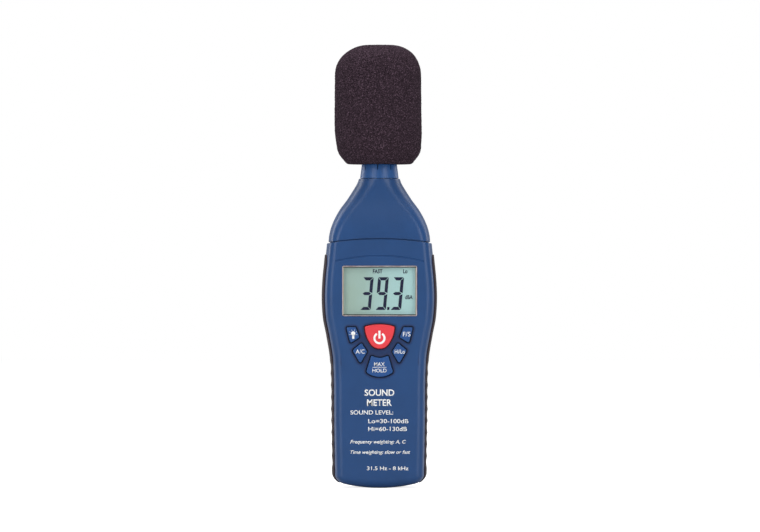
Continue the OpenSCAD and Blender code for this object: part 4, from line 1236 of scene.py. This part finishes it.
def digit(figure, x, low, width, height):
    """Outlines of the lit strokes of one slanted seven-segment figure."""
    t, gap, slant = 1.5, 0.2, math.tan(math.radians(5.3))
    mid = height / 2

    def bent(points):
        return [(x + px + slant * pz, low + pz) for px, pz in points]

    def across(z, s):
        """Foot or top stroke; s is its inward direction."""
        return bent([(gap, z), (width - gap, z), (width - t, z + s * t), (t, z + s * t)][::int(s)])

    def upright(px, s, z0, z1):
        """Side stroke between two heights; s points inwards."""
        lean = t if z0 == 0 else t / 2
        peak = t if z1 == height else t / 2
        return bent([(px, z0 + gap), (px + s * t, z0 + lean + gap), (px + s * t, z1 - peak - gap),
                     (px, z1 - gap)])

    bar = bent([(gap + 0.35, mid), (t, mid - t / 2), (width - t, mid - t / 2), (width - gap - 0.35, mid),
                (width - t, mid + t / 2), (t, mid + t / 2)])
    strokes = [across(height, -1), upright(width, -1, mid, height), upright(width, -1, 0, mid), across(0, 1),
               upright(0, 1, 0, mid), upright(0, 1, mid, height), bar]
    return [s for s, lit in zip(strokes, LIT[figure]) if lit == "1"]


def make_reading():
    """Dark strokes of the display: three figures, the point and the small words."""
    y = DISPLAY_FACE - 0.01
    foot, height, width = 84.2, 15.5, 5.1
    figures = [s for figure, x in (("3", -9.3), ("9", -2.13), ("3", 5.04))
               for s in digit(figure, x, foot, width, height)]
    point = [(3.5, 84.2), (4.6, 84.2), (4.7, 85.6), (3.6, 85.6)]
    parts = [raised("figures", figures + [point], y),
             words("FAST", (-3.2, 101.5), (1.35, 103.45), y, bold=0.03),
             words("Lo", (11.1, 101.5), (13.2, 103.45), y, bold=0.03),
             words("dBA", (12.05, 89.3), (15.65, 91.2), y, bold=0.03)]
    return piece(joined(parts, "reading"), "display_reading", "case", finish_of("segments"), "display")


def make_window():
    """Acrylic window: a plate with rounded corners and a small bevel round its face."""
    pts = rounded(rectangle(WINDOW[0], WINDOW[2], 0.8, WINDOW_Z), 8)
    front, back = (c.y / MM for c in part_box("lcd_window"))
    window = stacked("window", [(back, pts), (front + 0.25, pts), (front, outset(pts, -0.25))])
    return piece(shade(window, 20), "display_window", "case", finish_of("window"), "clear_window",
                 "lcd_window")


# ---- operators ----

KEPT = {
    "microphone": {"mic_sleeve": "black_rubber", "mic_barrel": "nickel", "mic_ring": "white",
                   "mic_capsule": "gilt", "mic_grid": "nickel", "mic_leads": "leads"},
    "electronics": {"lcd_frame": "white", "lcd_glass": "display", "backlight_panel": "white",
                    "contact_strips": "zebra", "key_mat": "silicone", "main_board": "board",
                    "microcontroller": "black_epoxy", "amplifier_chips": "black_epoxy",
                    "capacitors": "capacitor", "crystal": "steel", "trimmer_body": "trimmer",
                    "trimmer_rotor": "white", "board_screws": "steel"},
    "battery": {"battery": "battery", "battery_snap": "black_rubber", "battery_leads": "leads",
                "battery_pad": "pad"},
    "fastenings": {"case_screws": "dark_steel", "tripod_insert": "brass"},
}


class BuildOperator:
    """What every builder shares: one undoable step in object mode."""

    bl_options = {"REGISTER", "UNDO"}

    @classmethod
    def poll(cls, context):
        return context.mode == "OBJECT"


class METER_OT_shells(BuildOperator, Operator):
    """Build the front and back halves of the case"""

    bl_idname = "meter.shells"
    bl_label = "Case Shells"

    def execute(self, context):
        make_front_shell()
        make_rear_shell()
        return {"FINISHED"}


class METER_OT_head(BuildOperator, Operator):
    """Build the head and the collar on its neck"""

    bl_idname = "meter.head"
    bl_label = "Head and Collar"

    def execute(self, context):
        make_head()
        make_collar()
        return {"FINISHED"}


class METER_OT_windscreen(BuildOperator, Operator):
    """Build the foam windscreen"""

    bl_idname = "meter.windscreen"
    bl_label = "Windscreen"

    def execute(self, context):
        make_windscreen()
        return {"FINISHED"}


class METER_OT_grips(BuildOperator, Operator):
    """Build the rubber side grips"""

    bl_idname = "meter.grips"
    bl_label = "Side Grips"

    def execute(self, context):
        for side, node in ((-1, "left_grip"), (1, "right_grip")):
            make_grip(side, node)
        return {"FINISHED"}


class METER_OT_door(BuildOperator, Operator):
    """Build the sliding battery door"""

    bl_idname = "meter.door"
    bl_label = "Battery Door"

    def execute(self, context):
        make_battery_door()
        return {"FINISHED"}


class METER_OT_keys(BuildOperator, Operator):
    """Build the six keys"""

    bl_idname = "meter.keys"
    bl_label = "Keys"

    def execute(self, context):
        for name in KEYS:
            make_key(name)
        return {"FINISHED"}


class METER_OT_display(BuildOperator, Operator):
    """Build the display's window and its reading"""

    bl_idname = "meter.display"
    bl_label = "Display"

    def execute(self, context):
        make_window()
        make_reading()
        return {"FINISHED"}


class METER_OT_prints(BuildOperator, Operator):
    """Build the white prints on the keys and the case"""

    bl_idname = "meter.prints"
    bl_label = "Prints"

    def execute(self, context):
        make_legends()
        make_case_print()
        return {"FINISHED"}


class METER_OT_inner_parts(BuildOperator, Operator):
    """Give the microphone, electronics, battery and fastenings their finishes"""

    bl_idname = "meter.inner_parts"
    bl_label = "Microphone and Inner Parts"

    def execute(self, context):
        for group in KEPT.values():
            for node, material in group.items():
                dress(node, material)
        return {"FINISHED"}


def soft_light(name, at, width, height, watts):
    """Rectangular softbox at a place, turned towards the meter; the camera doesn't see it."""
    data = bpy.data.lights.new(name, "AREA")
    data.shape, data.size, data.size_y, data.energy = "RECTANGLE", width, height, watts
    lamp = bpy.data.objects.new(name, data)
    lamp.location = at
    lamp.rotation_euler = (Vector(AIM) - Vector(at)).to_track_quat("-Z", "Y").to_euler()
    lamp.visible_camera = False
    bpy.context.scene.collection.objects.link(lamp)


def white_room():
    """World that is white to the camera and soft grey as light: a room whose walls are out of reach."""
    world = bpy.data.worlds.new("white room")
    world.use_nodes = True
    tree = world.node_tree
    tree.nodes.clear()
    white = tint("#ffffff")
    seen = add(tree, "Background", {"Color": white, "Strength": 1.0})
    lit = add(tree, "Background", {"Color": white, "Strength": AMBIENT})
    from_camera = add(tree, "LightPath", {}, "Is Camera Ray")
    add(tree, "OutputWorld", {0: add(tree, "MixShader", {0: from_camera, 1: lit, 2: seen})})
    bpy.context.scene.world = world


def table_top():
    """Plain pale table top, a wide disc at the height of the meter's foot."""
    a = np.linspace(0, 2 * np.pi, 96, endpoint=False)
    rim = np.stack([TABLE_RADIUS * np.cos(a), TABLE_RADIUS * np.sin(a), 0 * a], axis=-1)
    table = new_object("table", rim, [list(range(len(a)))])
    table.data.materials.append(finish_of("table"))


def view():
    """Camera far in front, turned a little about the meter."""
    data = bpy.data.cameras.new("camera")
    data.lens = data.sensor_width * VIEW_DISTANCE / VIEW_WIDTH
    camera = bpy.data.objects.new("camera", data)
    camera.location = (VIEW_ASIDE - VIEW_DISTANCE * math.sin(VIEW_TURN),
                       MID * MM - VIEW_DISTANCE * math.cos(VIEW_TURN), VIEW_HEIGHT)
    camera.rotation_euler = (math.pi / 2, 0, -VIEW_TURN)
    bpy.context.scene.collection.objects.link(camera)
    bpy.context.scene.camera = camera


class METER_OT_stage(BuildOperator, Operator):
    """Set up the table, the softboxes, the white room and the camera"""

    bl_idname = "meter.stage"
    bl_label = "Stage"

    def execute(self, context):
        white_room()
        table_top()
        for name, (at, width, height, watts) in SOFTBOXES.items():
            soft_light(name, at, width, height, watts)
        view()
        context.scene.view_settings.view_transform = "Standard"
        return {"FINISHED"}


BUILDERS = (METER_OT_shells, METER_OT_head, METER_OT_windscreen, METER_OT_grips, METER_OT_door, METER_OT_keys,
            METER_OT_display, METER_OT_prints, METER_OT_inner_parts, METER_OT_stage)


class METER_PT_sidebar(Panel):
    """Sidebar panel with the sizes, the colours and one button for each builder"""

    bl_idname = "METER_PT_sidebar"
    bl_label = "Sound Level Meter"
    bl_space_type = "VIEW_3D"
    bl_region_type = "UI"
    bl_category = "Meter"

    def draw(self, context):
        for settings in (context.scene.meter_sizes, context.scene.meter_colours):
            box = self.layout.box()
            for field in settings.bl_rna.properties.keys():
                if field not in ("rna_type", "name"):
                    box.prop(settings, field)
        column = self.layout.column(align=True)
        for builder in BUILDERS:
            column.operator(builder.bl_idname)


CLASSES = (MeterSizes, MeterColours, *BUILDERS, METER_PT_sidebar)


def register():
    for cls in CLASSES:
        bpy.utils.register_class(cls)
    bpy.types.Scene.meter_sizes = PointerProperty(type=MeterSizes)
    bpy.types.Scene.meter_colours = PointerProperty(type=MeterColours)


def unregister():
    del bpy.types.Scene.meter_colours
    del bpy.types.Scene.meter_sizes
    for cls in reversed(CLASSES):
        bpy.utils.unregister_class(cls)


def main():
    register()
    for builder in BUILDERS:
        group, action = builder.bl_idname.split(".")
        getattr(getattr(bpy.ops, group), action)()


if __name__ == "__main__":
    main()
